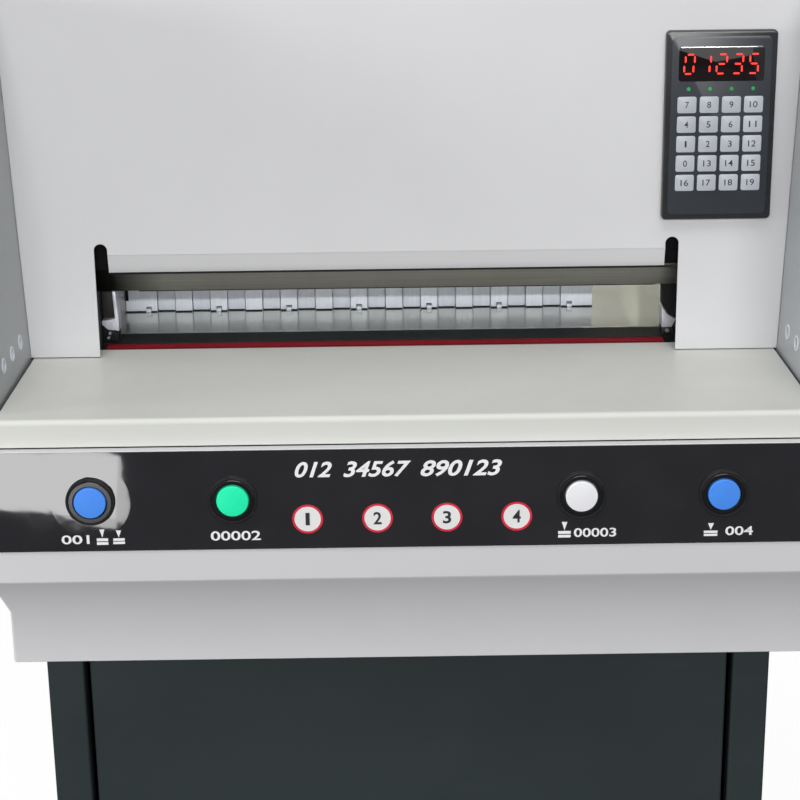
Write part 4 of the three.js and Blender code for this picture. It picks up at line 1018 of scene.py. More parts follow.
def dress_comb():
    """Separate fingers on one angle bar; every second one and the two ends stand proud."""
    low, high, body = spot("gauge_comb")
    pitch = (high.x - low.x - 2 * COMB_END) / FINGERS
    middle = (low.x + high.x) / 2
    back = low.y + FINGER_DEPTH
    angle_back, sole_top = low.y + ANGLE_DEPTH, low.z + SOLE_HEIGHT
    profile = [(back, low.z), (high.y, low.z), (high.y, sole_top), (angle_back, sole_top),
               (angle_back, high.z), (back, high.z)]
    piece("comb_angle", along_x(profile, low.x, high.x), "aluminium", body,
          replaces=("gauge_comb",))
    first, last = low.x + COMB_END, high.x - COMB_END
    gap = FINGER_GAP / 2
    spans = [(low.x, first - gap)]
    spans += [(first + i * pitch + gap, first + (i + 1) * pitch - gap) for i in range(FINGERS)]
    spans.append((last + gap, high.x))
    notches = [middle + step * NOTCH_STEP * pitch for step in range(-3, 4)]
    groups, foot_shadows = [[] for _ in COMB_TONES], []
    under = low.z - COMB_REACH
    for number, (start, end) in enumerate(spans):
        face = low.y + (FINGER_PROUD if number % 2 else 0)
        notch = next((x for x in notches if start < x < end), None)
        # Recessed fingers take the darker second tone as painted shade; the others take a random
        # tone
        tone = 1 if number % 2 else random.choice((0, 2))
        groups[tone].append(finger(start, end, under, high.z, face, back, notch))
        # Painted shadow: a thin dark strip in front of the finger's foot
        foot_shadows.append(box((start, face - FOOT_SHADOW_REACH, under),
                          (end, face + 0.4, under + FOOT_SHADOW_THICK), 0.1))
    for number, (shapes, tone) in enumerate(zip(groups, COMB_TONES)):
        piece(f"comb_fingers_{number}", joined(shapes), "aluminium", body, tone)
    feet = [box((x - COMB_FOOT / 2, low.y - FOOT_REACH, under),
                (x + COMB_FOOT / 2, back, under + NOTCH_HEIGHT - 1.7), 0.15) for x in notches]
    piece("comb_feet", joined(feet), "aluminium", body)
    outer, inner = COMB_SCREWS
    screws = [(x, high.y - 30, sole_top)
              for x in (low.x + outer, middle - inner, middle + inner, high.x - outer)]
    screw_row("comb_screws", screws, UP, body, 4, 2.2, 1)
    piece("comb_foot_shadows", joined(foot_shadows), "aluminium", body, BLACK_TRIM_AND_SHADE)
    # A small dark block at the top of the comb's left end
    dark_block = box((low.x, low.y - 0.5, low.z + 9.7), (low.x + 2.4, low.y + 3, low.z + 19.9), 0.2)
    piece("comb_end_dark_block", dark_block, "aluminium", body, BLACK_TRIM_AND_SHADE)


# Knife

CARRIER_SCREWS = 7
CARRIER_MARGIN = 40
CARRIER_LEVEL = 30
SETTING_INSET = 90
SETTING_DEPTH = 16


def dress_knife():
    """Cap screws that hold the blade to its carrier, and the two setting screws above."""
    low, high, body = spot("knife_carrier")
    pitch = (high.x - low.x - 2 * CARRIER_MARGIN) / (CARRIER_SCREWS - 1)
    places = [(low.x + CARRIER_MARGIN + step * pitch, low.y, low.z + CARRIER_LEVEL)
              for step in range(CARRIER_SCREWS)]
    screw_row("carrier_screws", places, FRONT, body, 6.5, 4.5, 0.8, "black_iron")
    setting = [(x, SETTING_DEPTH, high.z) for x in (low.x + SETTING_INSET, high.x - SETTING_INSET)]
    screw_row("setting_screws", setting, UP, body, 5, 5, 0.6)


# Drives

CORE_STEPS = 24
THREAD_DEPTH = 1.2
# Radius and height along each spindle, from its foot
CLAMP_SPINDLE = [
    (0, 0), (7.2, 0), (7.9, 0.8), (7.9, 118.4), (9, 119), (13.9, 119), (14.4, 119.4),
    (14.4, 127.6), (13.9, 128), (9, 128), (9, 183), (8.5, 183.5), (0, 183.5)]
GAUGE_SPINDLE = [
    (0, 0), (5.6, 0), (6, 0.4), (6, 8), (5.9, 8.2), (5.9, 505), (7, 505.4), (7, 525.2),
    (6.6, 525.6), (0, 525.6)]
# Crest radius, pitch, start and length of each thread
CLAMP_THREAD = (9, 6, 1, 118)
GAUGE_THREAD = (7, 10, 8, 495)


def threaded(name, source, facing, core, helix):
    """A screw that takes the place of a plain CAD bar: its turned core and its thread."""
    crest, pitch, start, length = helix
    low, high, body = spot(source)
    x, y, z = (low + high) / 2
    foot = at(x, low.y, z) if facing == BACK else at(x, y, low.z)
    ridge = thread(crest, pitch, length, THREAD_DEPTH)
    bmesh.ops.translate(ridge, verts=ridge.verts, vec=(0, 0, start * MM))
    piece(name, put(joined([turned(core, CORE_STEPS), ridge]), foot, facing), SLOT_OF[source],
          body, replaces=(source,))


def dress_screws():
    threaded("clamp_spindle", "clamp_screw", UP, CLAMP_SPINDLE, CLAMP_THREAD)
    threaded("gauge_spindle", "gauge_screw", BACK, GAUGE_SPINDLE, GAUGE_THREAD)


MOTOR_CAP = 42
MOTOR_FINS = 28
FIN_SIZE = (2, 6)
FIN_FOOT = 51
FIN_START = 13
TERMINALS_FROM = 54  # front of the flange to the middle of the terminal box
TERMINALS_LEVELS = (50, 68, 71)  # foot, joint and top above the axis
TERMINALS_HALF = 24
LID_OVERHANG = 2
LID_SCREW_INSET = 3
FLANGE_FACE = 12
FLANGE_BOLTS = 54


def dress_knife_motor():
    """Flange, finned case, end cap and terminal box."""
    low, high, body = spot("knife_motor")
    x, _, z = (low + high) / 2
    length = high.y - low.y
    cap = length - MOTOR_CAP
    profile = [(0, 0), (59, 0), (60, 1), (60, 11), (59, FLANGE_FACE), (49, FLANGE_FACE),
               (49, cap), (53, cap), (54, cap + 1), (54, length - 6), (50, length - 1.5),
               (44, length), (0, length)]
    shapes = [turned(profile, FINE_ROUND)]
    for number in range(MOTOR_FINS):
        fin = block(*FIN_SIZE, cap - FIN_START - 1, 0.4)
        bmesh.ops.translate(fin, verts=fin.verts, vec=(0, FIN_FOOT * MM, FIN_START * MM))
        bmesh.ops.rotate(fin, verts=fin.verts, cent=(0, 0, 0),
                         matrix=Matrix.Rotation(math.tau * number / MOTOR_FINS, 3, "Z"))
        shapes.append(fin)
    piece("motor_case", put(joined(shapes), at(x, low.y, z), BACK), "motor_paint", body,
          replaces=("knife_motor",))
    y = low.y + TERMINALS_FROM
    foot, joint, top = (z + level for level in TERMINALS_LEVELS)
    wide = TERMINALS_HALF + LID_OVERHANG
    terminals = [
        box((x - TERMINALS_HALF, y - TERMINALS_HALF, foot),
            (x + TERMINALS_HALF, y + TERMINALS_HALF, joint), 2),
        box((x - wide, y - wide, joint), (x + wide, y + wide, top), 1)]
    piece("motor_terminals", joined(terminals), "motor_paint", body)
    reach = TERMINALS_HALF - LID_SCREW_INSET
    corners = [(x + a, y + b, top) for a in (-reach, reach) for b in (-reach, reach)]
    screw_row("motor_lid_screws", corners, UP, body, 2.6, 1.6, 0.6)
    turns = [math.pi / 4 + step * math.pi / 2 for step in range(4)]
    bolts = [(x + FLANGE_BOLTS * math.cos(turn), low.y + FLANGE_FACE,
              z + FLANGE_BOLTS * math.sin(turn)) for turn in turns]
    screw_row("motor_flange_bolts", bolts, BACK, body, 4.4, 4.4, 0.4)


def corner_pairs(low, high, inset, axes):
    """The four corners of a box's side, moved in by an inset, as pairs of two axes."""
    first, second = axes
    return [(a, b) for a in (low[first] + inset, high[first] - inset)
            for b in (low[second] + inset, high[second] - inset)]


GLAND_STARTS = (40, 84, 128, 172)
GLAND_LEVEL = 52
GLAND_DOME = [(0, 13), (3.4, 13), (5.6, 11), (6, 5), (0, 5)]
GEARBOX_LID = (56, 84, 8, 3, 0.8)
GEARBOX_SCREWS = (22, 36)
BEAM_BOLTS = (22, 16)


def dress_drive_fittings():
    """Lids, screws, glands and nuts of the gearbox, the control box, the small motors, the
    rails and the top beam."""
    low, high, body = spot("gearbox")
    x, _, z = (low + high) / 2
    piece("gearbox_lid", on_front(pad(*GEARBOX_LID), at(x, low.y, z)), "gearbox_paint", body)
    across, up = GEARBOX_SCREWS
    corners = [(x + a, low.y - 3, z + b) for a in (-across, across) for b in (-up, up)]
    screw_row("gearbox_lid_screws", corners, FRONT, body, 3.6, 3, 0.5)

    low, high, body = spot("control_box")
    corners = [(a, b, high.z) for a, b in corner_pairs(low, high, 9, (0, 1))]
    screw_row("control_lid_screws", corners, UP, body, 3.2, 1.8, 0.8)
    glands = [put(joined([hexagon_nut(15, 6), turned(GLAND_DOME, SMALL_ROUND)]),
                  at(high.x, low.y + y, low.z + GLAND_LEVEL), RIGHT) for y in GLAND_STARTS]
    piece("control_glands", joined(glands), "black_plastic", body)

    low, high, body = spot("gauge_motor")
    corners = [(a, high.y, b) for a, b in corner_pairs(low, high, 6, (0, 2))]
    screw_row("gauge_motor_screws", corners, BACK, body, 2.6, 2, 0.5)
    low, high, body = spot("clamp_motor")
    corners = [(a, b, high.z) for a, b in corner_pairs(low, high, 8, (0, 1))]
    screw_row("clamp_motor_screws", corners, UP, body, 3, 2.4, 0.5)

    low, high, body = spot("gauge_end_plate")
    rails = [sum(node_box(f"gauge_rail_{side}"), Vector()) / 2 for side in ("left", "right")]
    nuts = [put(hexagon_nut(11, 5), at(rail.x, high.y, rail.z), BACK) for rail in rails]
    piece("rail_nuts", joined(nuts), "zinc", body)
    low, high, body = spot("top_beam")
    across, deep = BEAM_BOLTS
    places = [(a, b, high.z) for a in (low.x + across, high.x - across)
              for b in (low.y + deep, high.y - deep)]
    screw_row("top_beam_bolts", places, UP, body, 8, 7, 0.8, "black_iron")


# Outside fittings

FEET = ("foot_front_left", "foot_front_right", "foot_rear_left", "foot_rear_right")
FOOT_PAD = [(0, 0), (22.8, 0), (24, 1.2), (24, 4.6), (23, 6), (15, 9.5), (12.6, 11), (12, 13),
            (0, 13)]
PAD_TOP = 13
STUD_CORE = 6
STUD_THREAD = (7, 2)


def dress_feet():
    """A rubber pad on a threaded stud with a lock nut."""
    for name in FEET:
        low, high, body = spot(name)
        place = at((low.x + high.x) / 2, (low.y + high.y) / 2, low.z)
        tall = high.z - low.z
        piece(f"{name}_pad", put(turned(FOOT_PAD), place), "rubber", body, replaces=(name,))
        core = turned([(0, PAD_TOP - 1), (STUD_CORE, PAD_TOP - 1), (STUD_CORE, tall), (0, tall)],
                      CORE_STEPS)
        ridge = put(thread(*STUD_THREAD, tall - PAD_TOP, 1.1), Vector((0, 0, PAD_TOP * MM)))
        piece(f"{name}_stud", put(joined([core, ridge]), place), "zinc", body)
        nut = put(hexagon_nut(19, 6), Vector((0, 0, (PAD_TOP + 0.4) * MM)))
        piece(f"{name}_nut", put(nut, place), "zinc", body)


KNOB_RADIUS = 14
LATCH_PLATE = [(9, 0), (19, 0), (19, 0.9), (18.4, 1.4), (9, 1.4)]


def dress_door():
    low, high, body = spot("door_latch")
    face = node_box("cabinet_door")[0].y
    x, z = (low.x + high.x) / 2, low.z + KNOB_RADIUS
    piece("latch_plate", on_front(ring(LATCH_PLATE), at(x, face, z)), "zinc",
          body_of_node("cabinet_door"))
    mark = on_front(pad(20, 2.6, 1.2, 0.3, 0.08), at(x, low.y, z), math.pi / 2)
    piece("latch_mark", mark, "bright_steel", body, BLACK_TRIM_AND_SHADE)


LOUVRE_STEP = 13
# Distance from the sheet and height above the slot, round one pressed hood
LOUVRE_HOOD = [(-0.4, 0), (2.4, 0), (2.7, 0.8), (2.2, 2.4), (-0.4, 7.5)]
SLOT_HEIGHT = 1.8


def louvres(name, left, right, top, count, back, slot, body):
    """Pressed hoods, open below, with black strips in their slots as painted shade."""
    levels = [top - LOUVRE_STEP * step for step in range(count)]
    hoods = [along_x([(back + out, z + up) for out, up in LOUVRE_HOOD], left, right, 0.15)
             for z in levels]
    piece(name, joined(hoods), slot, body)
    # Painted shade: a black strip in each slot
    slot_shades = [box((left + 2, back - 0.3, z - SLOT_HEIGHT), (right - 2, back + 0.12, z), 0.05)
            for z in levels]
    piece(f"{name}_slots", joined(slot_shades), slot, body, BLACK_TRIM_AND_SHADE)


PLATE_X, PLATE_Z = -70, -110
# Width, height, corner, thickness and edge
PLATE = (96, 58, 3, 0.5, 0.1)
PLATE_FIGURES = 6
RIVETS = (44, 25)
RIVET = [(0, 1), (1.2, 0.8), (1.8, 0), (0, 0)]
# Text, width and place on the plate
PLATE_ROWS = (("123456", 40, -20, 17), ("7890", 26, -27, 5), ("12", 12, 30, 5),
              ("345678", 40, -20, -7), ("901234", 40, -20, -19))


def dress_rating_plate(back, body):
    piece("rating_plate", on_back(pad(*PLATE), at(PLATE_X, back, PLATE_Z)), "aluminium", body)
    face = back + PLATE[3]
    rows = [put(fitted(numerals(text, PLATE_FIGURES), width, PLATE_FIGURES),
                Vector((x * MM, z * MM, 0))) for text, width, x, z in PLATE_ROWS]
    piece("rating_numbers", on_back(joined(rows), at(PLATE_X, face, PLATE_Z)), "aluminium",
          body, DARK_INK)
    across, up = RIVETS
    rivets = [put(turned(RIVET, SMALL_ROUND), at(PLATE_X + a, face, PLATE_Z + b), BACK)
              for a in (-across, across) for b in (-up, up)]
    piece("rating_rivets", joined(rivets), "zinc", body)


SWITCH_GAP = 0.7
SWITCH_FRAME = 3
SWITCH_PROUD = 1.6
SWITCH_FIGURE = 6


def dress_switch(back, body):
    """A frame round the rocker and plain figures for its two ends."""
    low, high = node_box("main_switch")
    x0, x1, z0, z1 = (low.x - SWITCH_GAP, high.x + SWITCH_GAP, low.z - SWITCH_GAP,
                      high.z + SWITCH_GAP)
    left, right, foot, top = (x0 - SWITCH_FRAME, x1 + SWITCH_FRAME, z0 - SWITCH_FRAME,
                              z1 + SWITCH_FRAME)
    sides = ((left, x0, foot, top), (x1, right, foot, top),
             (x0 - 0.4, x1 + 0.4, foot, z0), (x0 - 0.4, x1 + 0.4, z1, top))
    bars = [box((a, back, c), (b, back + SWITCH_PROUD, d), 0.3) for a, b, c, d in sides]
    piece("switch_frame", joined(bars), "black_plastic", body)
    middle = (low.x + high.x) / 2
    for text, width, level in (("1", 1.4, top + SWITCH_FIGURE), ("0", 4, foot - SWITCH_FIGURE)):
        figure = fitted(numerals(text, SWITCH_FIGURE, bold=0.2), width, SWITCH_FIGURE)
        piece(f"switch_figure_{text}", on_back(figure, at(middle, back + 0.02, level)),
              "light_paint", body, DARK_INK)


# Place across and up, width and height of each pin
INLET_PINS = ((0, 3.4, 4, 2), (-7, -3, 2, 4), (7, -3, 2, 4))
PIN_FOOT, PIN_TIP = 17.2, 3  # depth behind the inlet's face


def dress_inlet():
    low, high, body = spot("mains_inlet")
    x, _, z = (low + high) / 2
    pins = [box((x + a - w / 2, high.y - PIN_FOOT, z + b - h / 2),
                (x + a + w / 2, high.y - PIN_TIP, z + b + h / 2), 0.4)
            for a, b, w, h in INLET_PINS]
    piece("inlet_pins", joined(pins), "bright_steel", body)


STAND_COVER = (430, 460, 14, 1.5, 0.5)
STAND_COVER_Z = -520
STAND_SCREWS_X = 200
STAND_SCREWS_Z = (-305, -520, -735)


def dress_stand_rear():
    _, high, body = spot("stand_shell")
    back = high.y
    face = back + STAND_COVER[3]
    piece("stand_rear_cover", on_back(pad(*STAND_COVER), at(0, back, STAND_COVER_Z)),
          "stand_paint", body)
    places = [(x, face, z) for x in (-STAND_SCREWS_X, STAND_SCREWS_X) for z in STAND_SCREWS_Z]
    screw_row("stand_cover_screws", places, BACK, body, 5, 2.4, 1.4)
    louvres("stand_louvres", -120, 120, -350, 5, face, "stand_paint", body)


def dress_rear():
    _, high, body = spot("base_housing")
    louvres("rear_louvres_left", -290, -150, -64, 8, high.y, "light_paint", body)
    louvres("rear_louvres_right", 10, 140, -64, 8, high.y, "light_paint", body)
    dress_rating_plate(high.y, body)
    dress_switch(high.y, body)
    dress_inlet()
    dress_stand_rear()


SIDE_FACE = 318.0
# Places in Y and Z of the screws in each side cover
SIDE_SCREWS = ((20, 4), (230, 4), (440, 4), (625, 4), (20, 292), (196, 292), (600, 128))
REAR_SCREWS_X = (-290, -97, 97, 290)
REAR_SCREWS_Z = (-10, 138)
EYE_CABLE = [(0, 4), (2.4, 4), (3, 3), (3, 2), (0, 2)]


def dress_shell_screws():
    """Screws that hold the covers, and the nuts of the eyes outside the cheeks."""
    lean = math.tan(CHEEK_LEAN)
    for side, name in ((-1, "left"), (1, "right")):
        facing = Vector((side * math.cos(CHEEK_LEAN), 0, -math.sin(CHEEK_LEAN)))
        places = [(side * (SIDE_FACE + z * lean), y, z) for y, z in SIDE_SCREWS]
        screw_row(f"side_screws_{name}", places, facing, body_of_node(f"side_cover_{name}"),
                  4, 1.2, 0.7)
        nuts = [put(joined([hexagon_nut(11, 2.4), turned(EYE_CABLE, SMALL_ROUND)]),
                    at(side * (SIDE_FACE + EYE_LEVEL * lean), y, EYE_LEVEL), facing)
                for y in EYE_PLACES]
        piece(f"eye_nuts_{name}", joined(nuts), "black_plastic", body_of_node(f"cheek_{name}"))
    _, high, body = spot("rear_cover")
    places = [(x, high.y, z) for x in REAR_SCREWS_X for z in REAR_SCREWS_Z]
    screw_row("rear_cover_screws", places, BACK, body, 4, 2, 1)


GATE_ENDS = (-240.6, 229.4)
LINTEL_EDGE = 70.9


def dress_joints():
    """Painted shadow: dark strips between the table's lip and the panel, and under the lintel's
    edge.
    """
    low, high, body = spot("front_table")
    lip_shade = box((low.x + 1, low.y - 0.4, low.z - 0.6), (high.x - 1, low.y + 0.8, low.z + 0.3), 0.05)
    piece("table_lip_shadow", lip_shade, "table_paint", body, BLACK_TRIM_AND_SHADE)
    left, right = GATE_ENDS
    lintel_shade = box((left, 1, LINTEL_EDGE - 0.55), (right, 2, LINTEL_EDGE + 1), 0.1)
    piece("lintel_shadow", lintel_shade, "light_paint", body_of_node("front_cover"), BLACK_TRIM_AND_SHADE)


# Front panel

PANEL_BUTTONS = {
    "cut_button_left": "blue_cap", "power_button": "green_cap",
    "reset_button": "white_cap", "cut_button_right": "blue_cap",
}
CAP_RADIUS = 12
BEZEL_BORE = 12.5
BEZEL_RING = 3.3
CAP_SINK = 3.1
BEZEL_NOTCHES = (8, 128, 232, 300)


def bezel_shape(deep):
    """A notched matt flange; heights from the panel's face."""
    body = ring([
        (14.2, -deep), (14.3, -deep), (14.3, 0.02), (18.5, 0.02), (18.5, 1.9), (18.1, 2.6),
        (17.3, 2.9), (16.6, 2.7), (16.3, 2.2), (14.2, 2.2),
    ], FINE_ROUND)
    lugs = []
    for turn in BEZEL_NOTCHES:
        lug = block(4.2, 1.6, 0.9, 0.3)
        spin = Matrix.Rotation(math.radians(turn), 4, "Z")
        bmesh.ops.transform(lug, matrix=spin @ Matrix.Translation((0, 17.6 * MM, 2.3 * MM)),
                            verts=lug.verts)
        lugs.append(lug)
    return joined([body] + lugs)


def bezel_ring(deep):
    """The flat glossy ring inside the flange."""
    return ring([
        (BEZEL_BORE, -deep), (14.2, -deep), (14.2, 2.0), (16.2, 2.0), (16.2, BEZEL_RING - 0.3),
        (15.9, BEZEL_RING), (13.2, BEZEL_RING), (12.9, BEZEL_RING - 0.2),
        (BEZEL_BORE, BEZEL_RING - 1.2),
    ], FINE_ROUND)


def cap_shape(proud, deep):
    """A nearly flat cap; heights from the panel's face."""
    dome = [(radius, proud - 0.5 * (radius / 11.4) ** 2) for radius in (2.5, 5, 7.5, 9.5, 11.4)]
    return turned([(0, proud)] + dome + [
        (11.85, proud - 0.8), (CAP_RADIUS, proud - 1.3), (CAP_RADIUS, -deep), (0, -deep)])


def dress_buttons():
    face = node_box("control_overlay")[0].y
    for name, slot in PANEL_BUTTONS.items():
        low, high = node_box(name)
        x, z = (low.x + high.x) / 2, (low.z + high.z) / 2
        bezel = f"{name}_bezel"
        deep = node_box(bezel)[1].y - face
        piece(f"{name}_collar", on_front(bezel_shape(deep), at(x, face, z)), SLOT_OF[bezel],
              body_of_node(bezel), BEZEL_MATT, replaces=(bezel,))
        piece(f"{name}_ring", on_front(bezel_ring(deep), at(x, face, z)), SLOT_OF[bezel],
              body_of_node(bezel), BEZEL_GLOSS)
        cap = cap_shape(face - low.y - CAP_SINK, high.y - face)
        piece(f"{name}_cap", on_front(cap, at(x, face, z)), slot, body_of_node(name),
              replaces=(name,))


PRINT_LIFT = 0.02


def print_on_panel(name, shape, x, z, material, lift=PRINT_LIFT):
    face = node_box("control_overlay")[0].y
    piece(name, on_front(shape, at(x, face - lift, z)), "black_gloss",
          body_of_node("control_overlay"), material)


def blade_mark(width, height):
    """A plain mark: a wedge that points down at two stacked bars."""
    bars = height * 0.42
    line = height * 0.06
    half = width / 2
    shapes = []
    for foot, top in ((0, bars * 0.42), (bars * 0.42 + line, bars)):
        shapes.append(slab([(-half, foot), (half, foot), (half, top), (-half, top)], INK))
    shapes.append(slab([(0, bars + line), (half * 0.45, height), (-half * 0.45, height)], INK))
    return fitted(joined(shapes), width, height)


# Name: text, middle X and Z, width, height, slant and weight
PANEL_TEXT = {
    "title_left": ("012", -69.7, -38.1, 27.8, 12.4, 0.3, 0.42),
    "title_middle": ("34567", -22.1, -38.1, 50.7, 12.8, 0.3, 0.42),
    "title_right": ("890123", 40.6, -38.3, 60.8, 12.8, 0.3, 0.42),
    "number_cut_left": ("001", -250.1, -91.5, 21.0, 7.2, 0, 0.16),
    "number_power": ("00002", -129.3, -90.0, 37.7, 7.6, 0, 0.16),
    "number_reset": ("00003", 141.3, -91.3, 31.9, 7.2, 0, 0.16),
    "number_cut_right": ("004", 250.0, -91.5, 20.9, 7.2, 0, 0.16),
}
# Name: middle X and Z, width and height
PANEL_MARKS = {
    "mark_cut_left": (-229.8, -89.7, 8.6, 12.4),
    "mark_down_left": (-217.4, -89.9, 8.8, 11.0),
    "mark_reset": (118.2, -88.8, 9.5, 12.6),
    "mark_cut_right": (228.5, -90.3, 10.3, 10.4),
}
SIGN_PLACES = (-74.9, -22.4, 29.8, 82.2)
SIGN_LEVEL = -77.4
SIGN_RADIUS = 11.6
SIGN_RING = 1.7


def dress_panel_print():
    for name, (text, x, z, width, height, slant, weight) in PANEL_TEXT.items():
        shape = fitted(numerals(text, height, slant=slant, bold=weight), width, height)
        print_on_panel(name, shape, x, z, WHITE_INK)
    for name, (x, z, width, height) in PANEL_MARKS.items():
        print_on_panel(name, blade_mark(width, height), x, z, WHITE_INK)
    for number, x in enumerate(SIGN_PLACES, 1):
        print_on_panel(f"sign_{number}_ground", disc(SIGN_RADIUS - 0.3), x, SIGN_LEVEL, SIGN_WHITE)
        print_on_panel(f"sign_{number}_ring", washer(SIGN_RADIUS - SIGN_RING, SIGN_RADIUS),
                       x, SIGN_LEVEL, RED_INK, PRINT_LIFT + 0.04)
        figure = fitted(numerals(str(number), 9, bold=0.25), 3.2 if number == 1 else 6.2, 10)
        print_on_panel(f"sign_{number}_figure", figure, x, SIGN_LEVEL, DARK_INK,
                       PRINT_LIFT + 0.08)


# Console beside the gate

CASE_SHARE = 0.85
CASE_CORNER = 3.5
FOIL_INSET = 4.5
WINDOW_HEIGHT = 27
WINDOW_DROP = 8  # from the foil's edge
LAMPS_DROP = 6  # from the window's edge
KEYS_DROP = 12
FIGURE_HEIGHT = 15
FIGURE_PITCH = 12.71
LAMP_PITCH = 17
KEY_SIZE = (15.0, 13.0)
KEY_GAP = 2.6
LEGEND_HEIGHT = 5
KEY_COLUMNS = 4
KEY_LEGENDS = ("7", "8", "9", "10", "4", "5", "6", "11", "1", "2", "3", "12", "0", "13", "14", "15",
               "16", "17", "18", "19")
SEGMENTS = {"0": "abcdef", "1": "bc", "2": "abdeg", "3": "abcdg", "5": "acdfg"}


def segment_figure(figure, height):
    """One seven-segment figure about the origin, 0.55 as wide as it is high."""
    half, wide, long = height / 2, height * 0.09, height * 0.36
    side = height * 0.24
    runs = {
        "a": (0, half, 0), "g": (0, 0, 0), "d": (0, -half, 0),
        "b": (side, half / 2, 1), "c": (side, -half / 2, 1),
        "f": (-side, half / 2, 1), "e": (-side, -half / 2, 1),
    }
    shapes = []
    for key in SEGMENTS[figure]:
        x, y, upright = runs[key]
        tip, shoulder = long / 2, long / 2 - wide / 2
        outline = [(-tip, 0), (-shoulder, -wide / 2), (shoulder, -wide / 2), (tip, 0),
                   (shoulder, wide / 2), (-shoulder, wide / 2)]
        if upright:
            outline = [(-b, a) for a, b in outline]
        shapes.append(slab([(x + a + y * 0.12, y + b) for a, b in outline], 0.05))
    return joined(shapes)


def dress_console():
    low, high, body = spot("console")
    middle = (low + high) / 2
    width, height, thick = high.x - low.x, high.z - low.z, high.y - low.y
    case = thick * CASE_SHARE
    shell = on_front(pad(width, height, CASE_CORNER, case, 1.2), at(middle.x, high.y, middle.z))
    piece("console_case", shell, "black_plastic", body, replaces=("console",))
    face = high.y - case

    def stick(name, shape, x, z, material, lift):
        piece(name, on_front(shape, at(x, face - lift, z)), "black_plastic", body, material)

    foil = pad(width - 2 * FOIL_INSET, height - 2 * FOIL_INSET, 4, 0.3, 0.1)
    stick("console_foil", foil, middle.x, middle.z, CONSOLE_FOIL, 0)
    window_z = high.z - FOIL_INSET - WINDOW_DROP - WINDOW_HEIGHT / 2
    window_foot = window_z - WINDOW_HEIGHT / 2
    stick("console_window", pad(width - 20, WINDOW_HEIGHT, 2.5, 0.25, 0.08),
          middle.x, window_z, DISPLAY_GLASS, 0.3)
    for step, figure in enumerate("01235"):
        stick(f"console_figure_{step + 1}", segment_figure(figure, FIGURE_HEIGHT),
              middle.x + (step - 2) * FIGURE_PITCH, window_z, DISPLAY_BAR, 0.55)
    lamps = [put(disc(1.5, 0.3, SMALL_ROUND), Vector(((step - 1.5) * LAMP_PITCH * MM, 0, 0)))
             for step in range(4)]
    stick("console_lamps", joined(lamps), middle.x, window_foot - LAMPS_DROP, LAMP_GREEN, 0.3)

    key_width, key_height = KEY_SIZE
    keys, legends = [], []
    for number, label in enumerate(KEY_LEGENDS):
        row, column = divmod(number, KEY_COLUMNS)
        place = Vector(((column - (KEY_COLUMNS - 1) / 2) * (key_width + KEY_GAP),
                        -row * (key_height + KEY_GAP), 0)) * MM
        key = pad(key_width, key_height, 1.6, 0.45, 0.15)
        wide = 1.6 if label == "1" else 3.1 * len(label)
        legend = fitted(numerals(label, LEGEND_HEIGHT, bold=0.05), wide, LEGEND_HEIGHT)
        for shape, group in ((key, keys), (legend, legends)):
            bmesh.ops.translate(shape, verts=shape.verts, vec=place)
            group.append(shape)
    top = window_foot - KEYS_DROP - key_height / 2
    stick("console_keys", joined(keys), middle.x, top, KEY_FOIL, 0.3)
    stick("console_legends", joined(legends), middle.x, top, DARK_INK, 0.75)


# Stage and light

FLOOR_HALF = 12.0
FLOOR_LIFT = 0.8
FLOOR_GLOW = 1.07
FLOOR_BOUNCE = srgb(64, 64, 64)
FLOOR_SEEN = srgb(244, 244, 244)
WORLD_LIGHT = 0.2
WHITE = (1, 1, 1, 1)


def add_stage():
    """A plain pale floor that runs out into a white surround."""
    shape = bmesh.new()
    bmesh.ops.create_grid(shape, x_segments=1, y_segments=1, size=FLOOR_HALF)
    mesh = mesh_of("floor", shape)
    material, tree, shader = new_material("floor_cloth", Roughness=0.7, Specular_IOR_Level=0.2)
    glow = node(tree, "ShaderNodeEmission", {"Color": WHITE, "Strength": FLOOR_GLOW})
    path = node(tree, "ShaderNodeLightPath").outputs
    seen_tone = colour_mix(tree, path["Is Camera Ray"], FLOOR_BOUNCE, FLOOR_SEEN)
    feed(tree, shader, Base_Color=seen_tone)
    seen = math_node(tree, "MULTIPLY", path["Is Camera Ray"], FLOOR_LIFT)
    mix_surface(tree, seen, shader, glow, "Material Output")
    mesh.materials.append(material)
    floor = linked("floor", mesh)


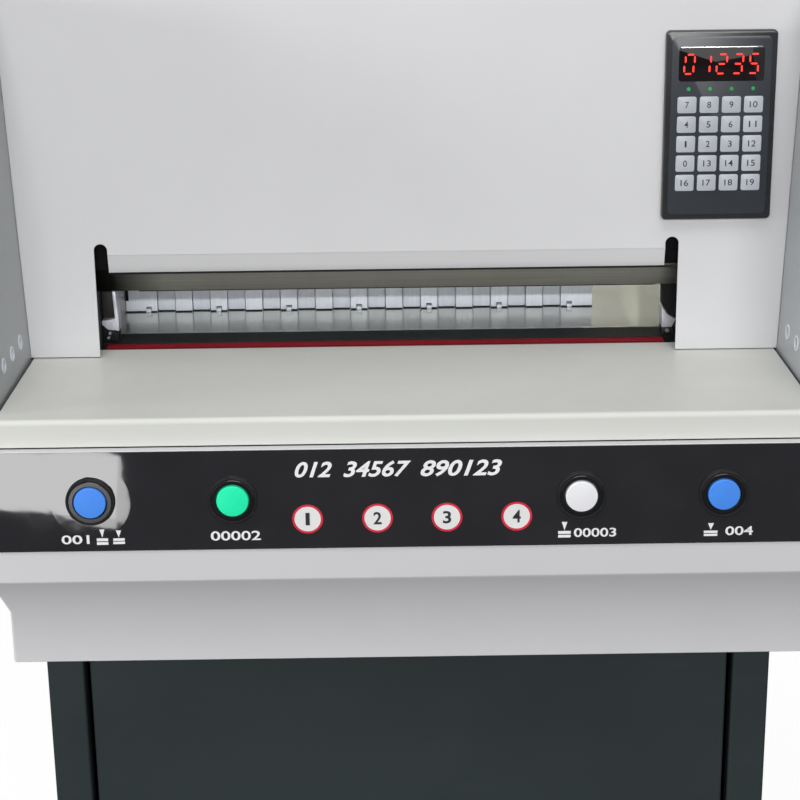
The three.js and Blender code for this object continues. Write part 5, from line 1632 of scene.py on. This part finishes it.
def add_world():
    world = bpy.data.worlds.new("surround")
    world.use_nodes = True
    bpy.context.scene.world = world
    tree = world.node_tree
    light = tree.nodes["Background"]
    light.inputs["Color"].default_value = WHITE
    light.inputs["Strength"].default_value = WORLD_LIGHT
    white = node(tree, "ShaderNodeBackground", {"Color": WHITE, "Strength": 1.0})
    path = node(tree, "ShaderNodeLightPath").outputs
    seen = math_node(tree, "MAXIMUM", path["Is Camera Ray"], path["Is Glossy Ray"])
    seen = math_node(tree, "MAXIMUM", seen, path["Is Transmission Ray"])
    mix_surface(tree, seen, light, white, "World Output")


def add_lamp(name, place, target, width, height, power, diffuse=True, glossy=True,
             colour=(1, 1, 1), lean=0.0):
    data = bpy.data.lights.new(name, "AREA")
    data.shape = "RECTANGLE"
    data.size = width
    data.size_y = height
    data.energy = power
    data.color = colour
    lamp = linked(name, data)
    lamp.location = place
    aim = (Vector(target) - Vector(place)).to_track_quat("-Z", "Y").to_matrix()
    lamp.rotation_euler = (Matrix.Rotation(lean, 3, "Y") @ aim).to_euler()
    lamp.visible_camera = False
    lamp.visible_diffuse = diffuse
    lamp.visible_glossy = glossy


# Name, place, target, width, height, power in watts, and what else sets a lamp apart
LAMPS = (
    ("key", (0.2, -3.5, 1.98), (0, -0.1, 0.87), 2.2, 0.07, 60, {}),
    ("upper", (0, -1.6, 3.6), (0, -0.2, 0.9), 2.4, 1.2, 42, {}),
    ("low", (0, -3.6, 0.75), (0, -0.15, 0.7), 2.4, 0.3, 9, {"glossy": False}),
    ("side", (-2.2, -0.85, 1.1), (0.31, -0.3, 0.95), 0.5, 0.5, 27, {"glossy": False}),
    ("back", (0.6, 2.8, 2.4), (0, 0, 0.8), 2.0, 1.4, 40, {}),
    ("window", (-0.627, -1.909, 0.279), (-0.627, 0, 0.279), 0.347, 0.11, 0.61,
     {"diffuse": False, "lean": 0.09}),
    ("gate", at(0, 78, 34), at(0, 142, 12), 0.45, 0.012, 0.036, {"glossy": False}),
    ("hood", at(0, 250, 80), at(0, 640, 25), 0.56, 0.06, 1.65,
     {"glossy": False, "colour": (1, 0.98, 0.86)}),
)


def add_lamps():
    for *figures, more in LAMPS:
        add_lamp(*figures, **more)


add_camera()
add_world()
add_lamps()
add_stage()
dress_nodes()
dress_eyes()
dress_bed_ends()
dress_comb()
dress_knife()
dress_screws()
dress_knife_motor()
dress_drive_fittings()
dress_feet()
dress_door()
dress_rear()
dress_shell_screws()
dress_joints()
dress_buttons()
dress_panel_print()
dress_console()

scene = bpy.context.scene
scene.view_settings.view_transform = "Standard"
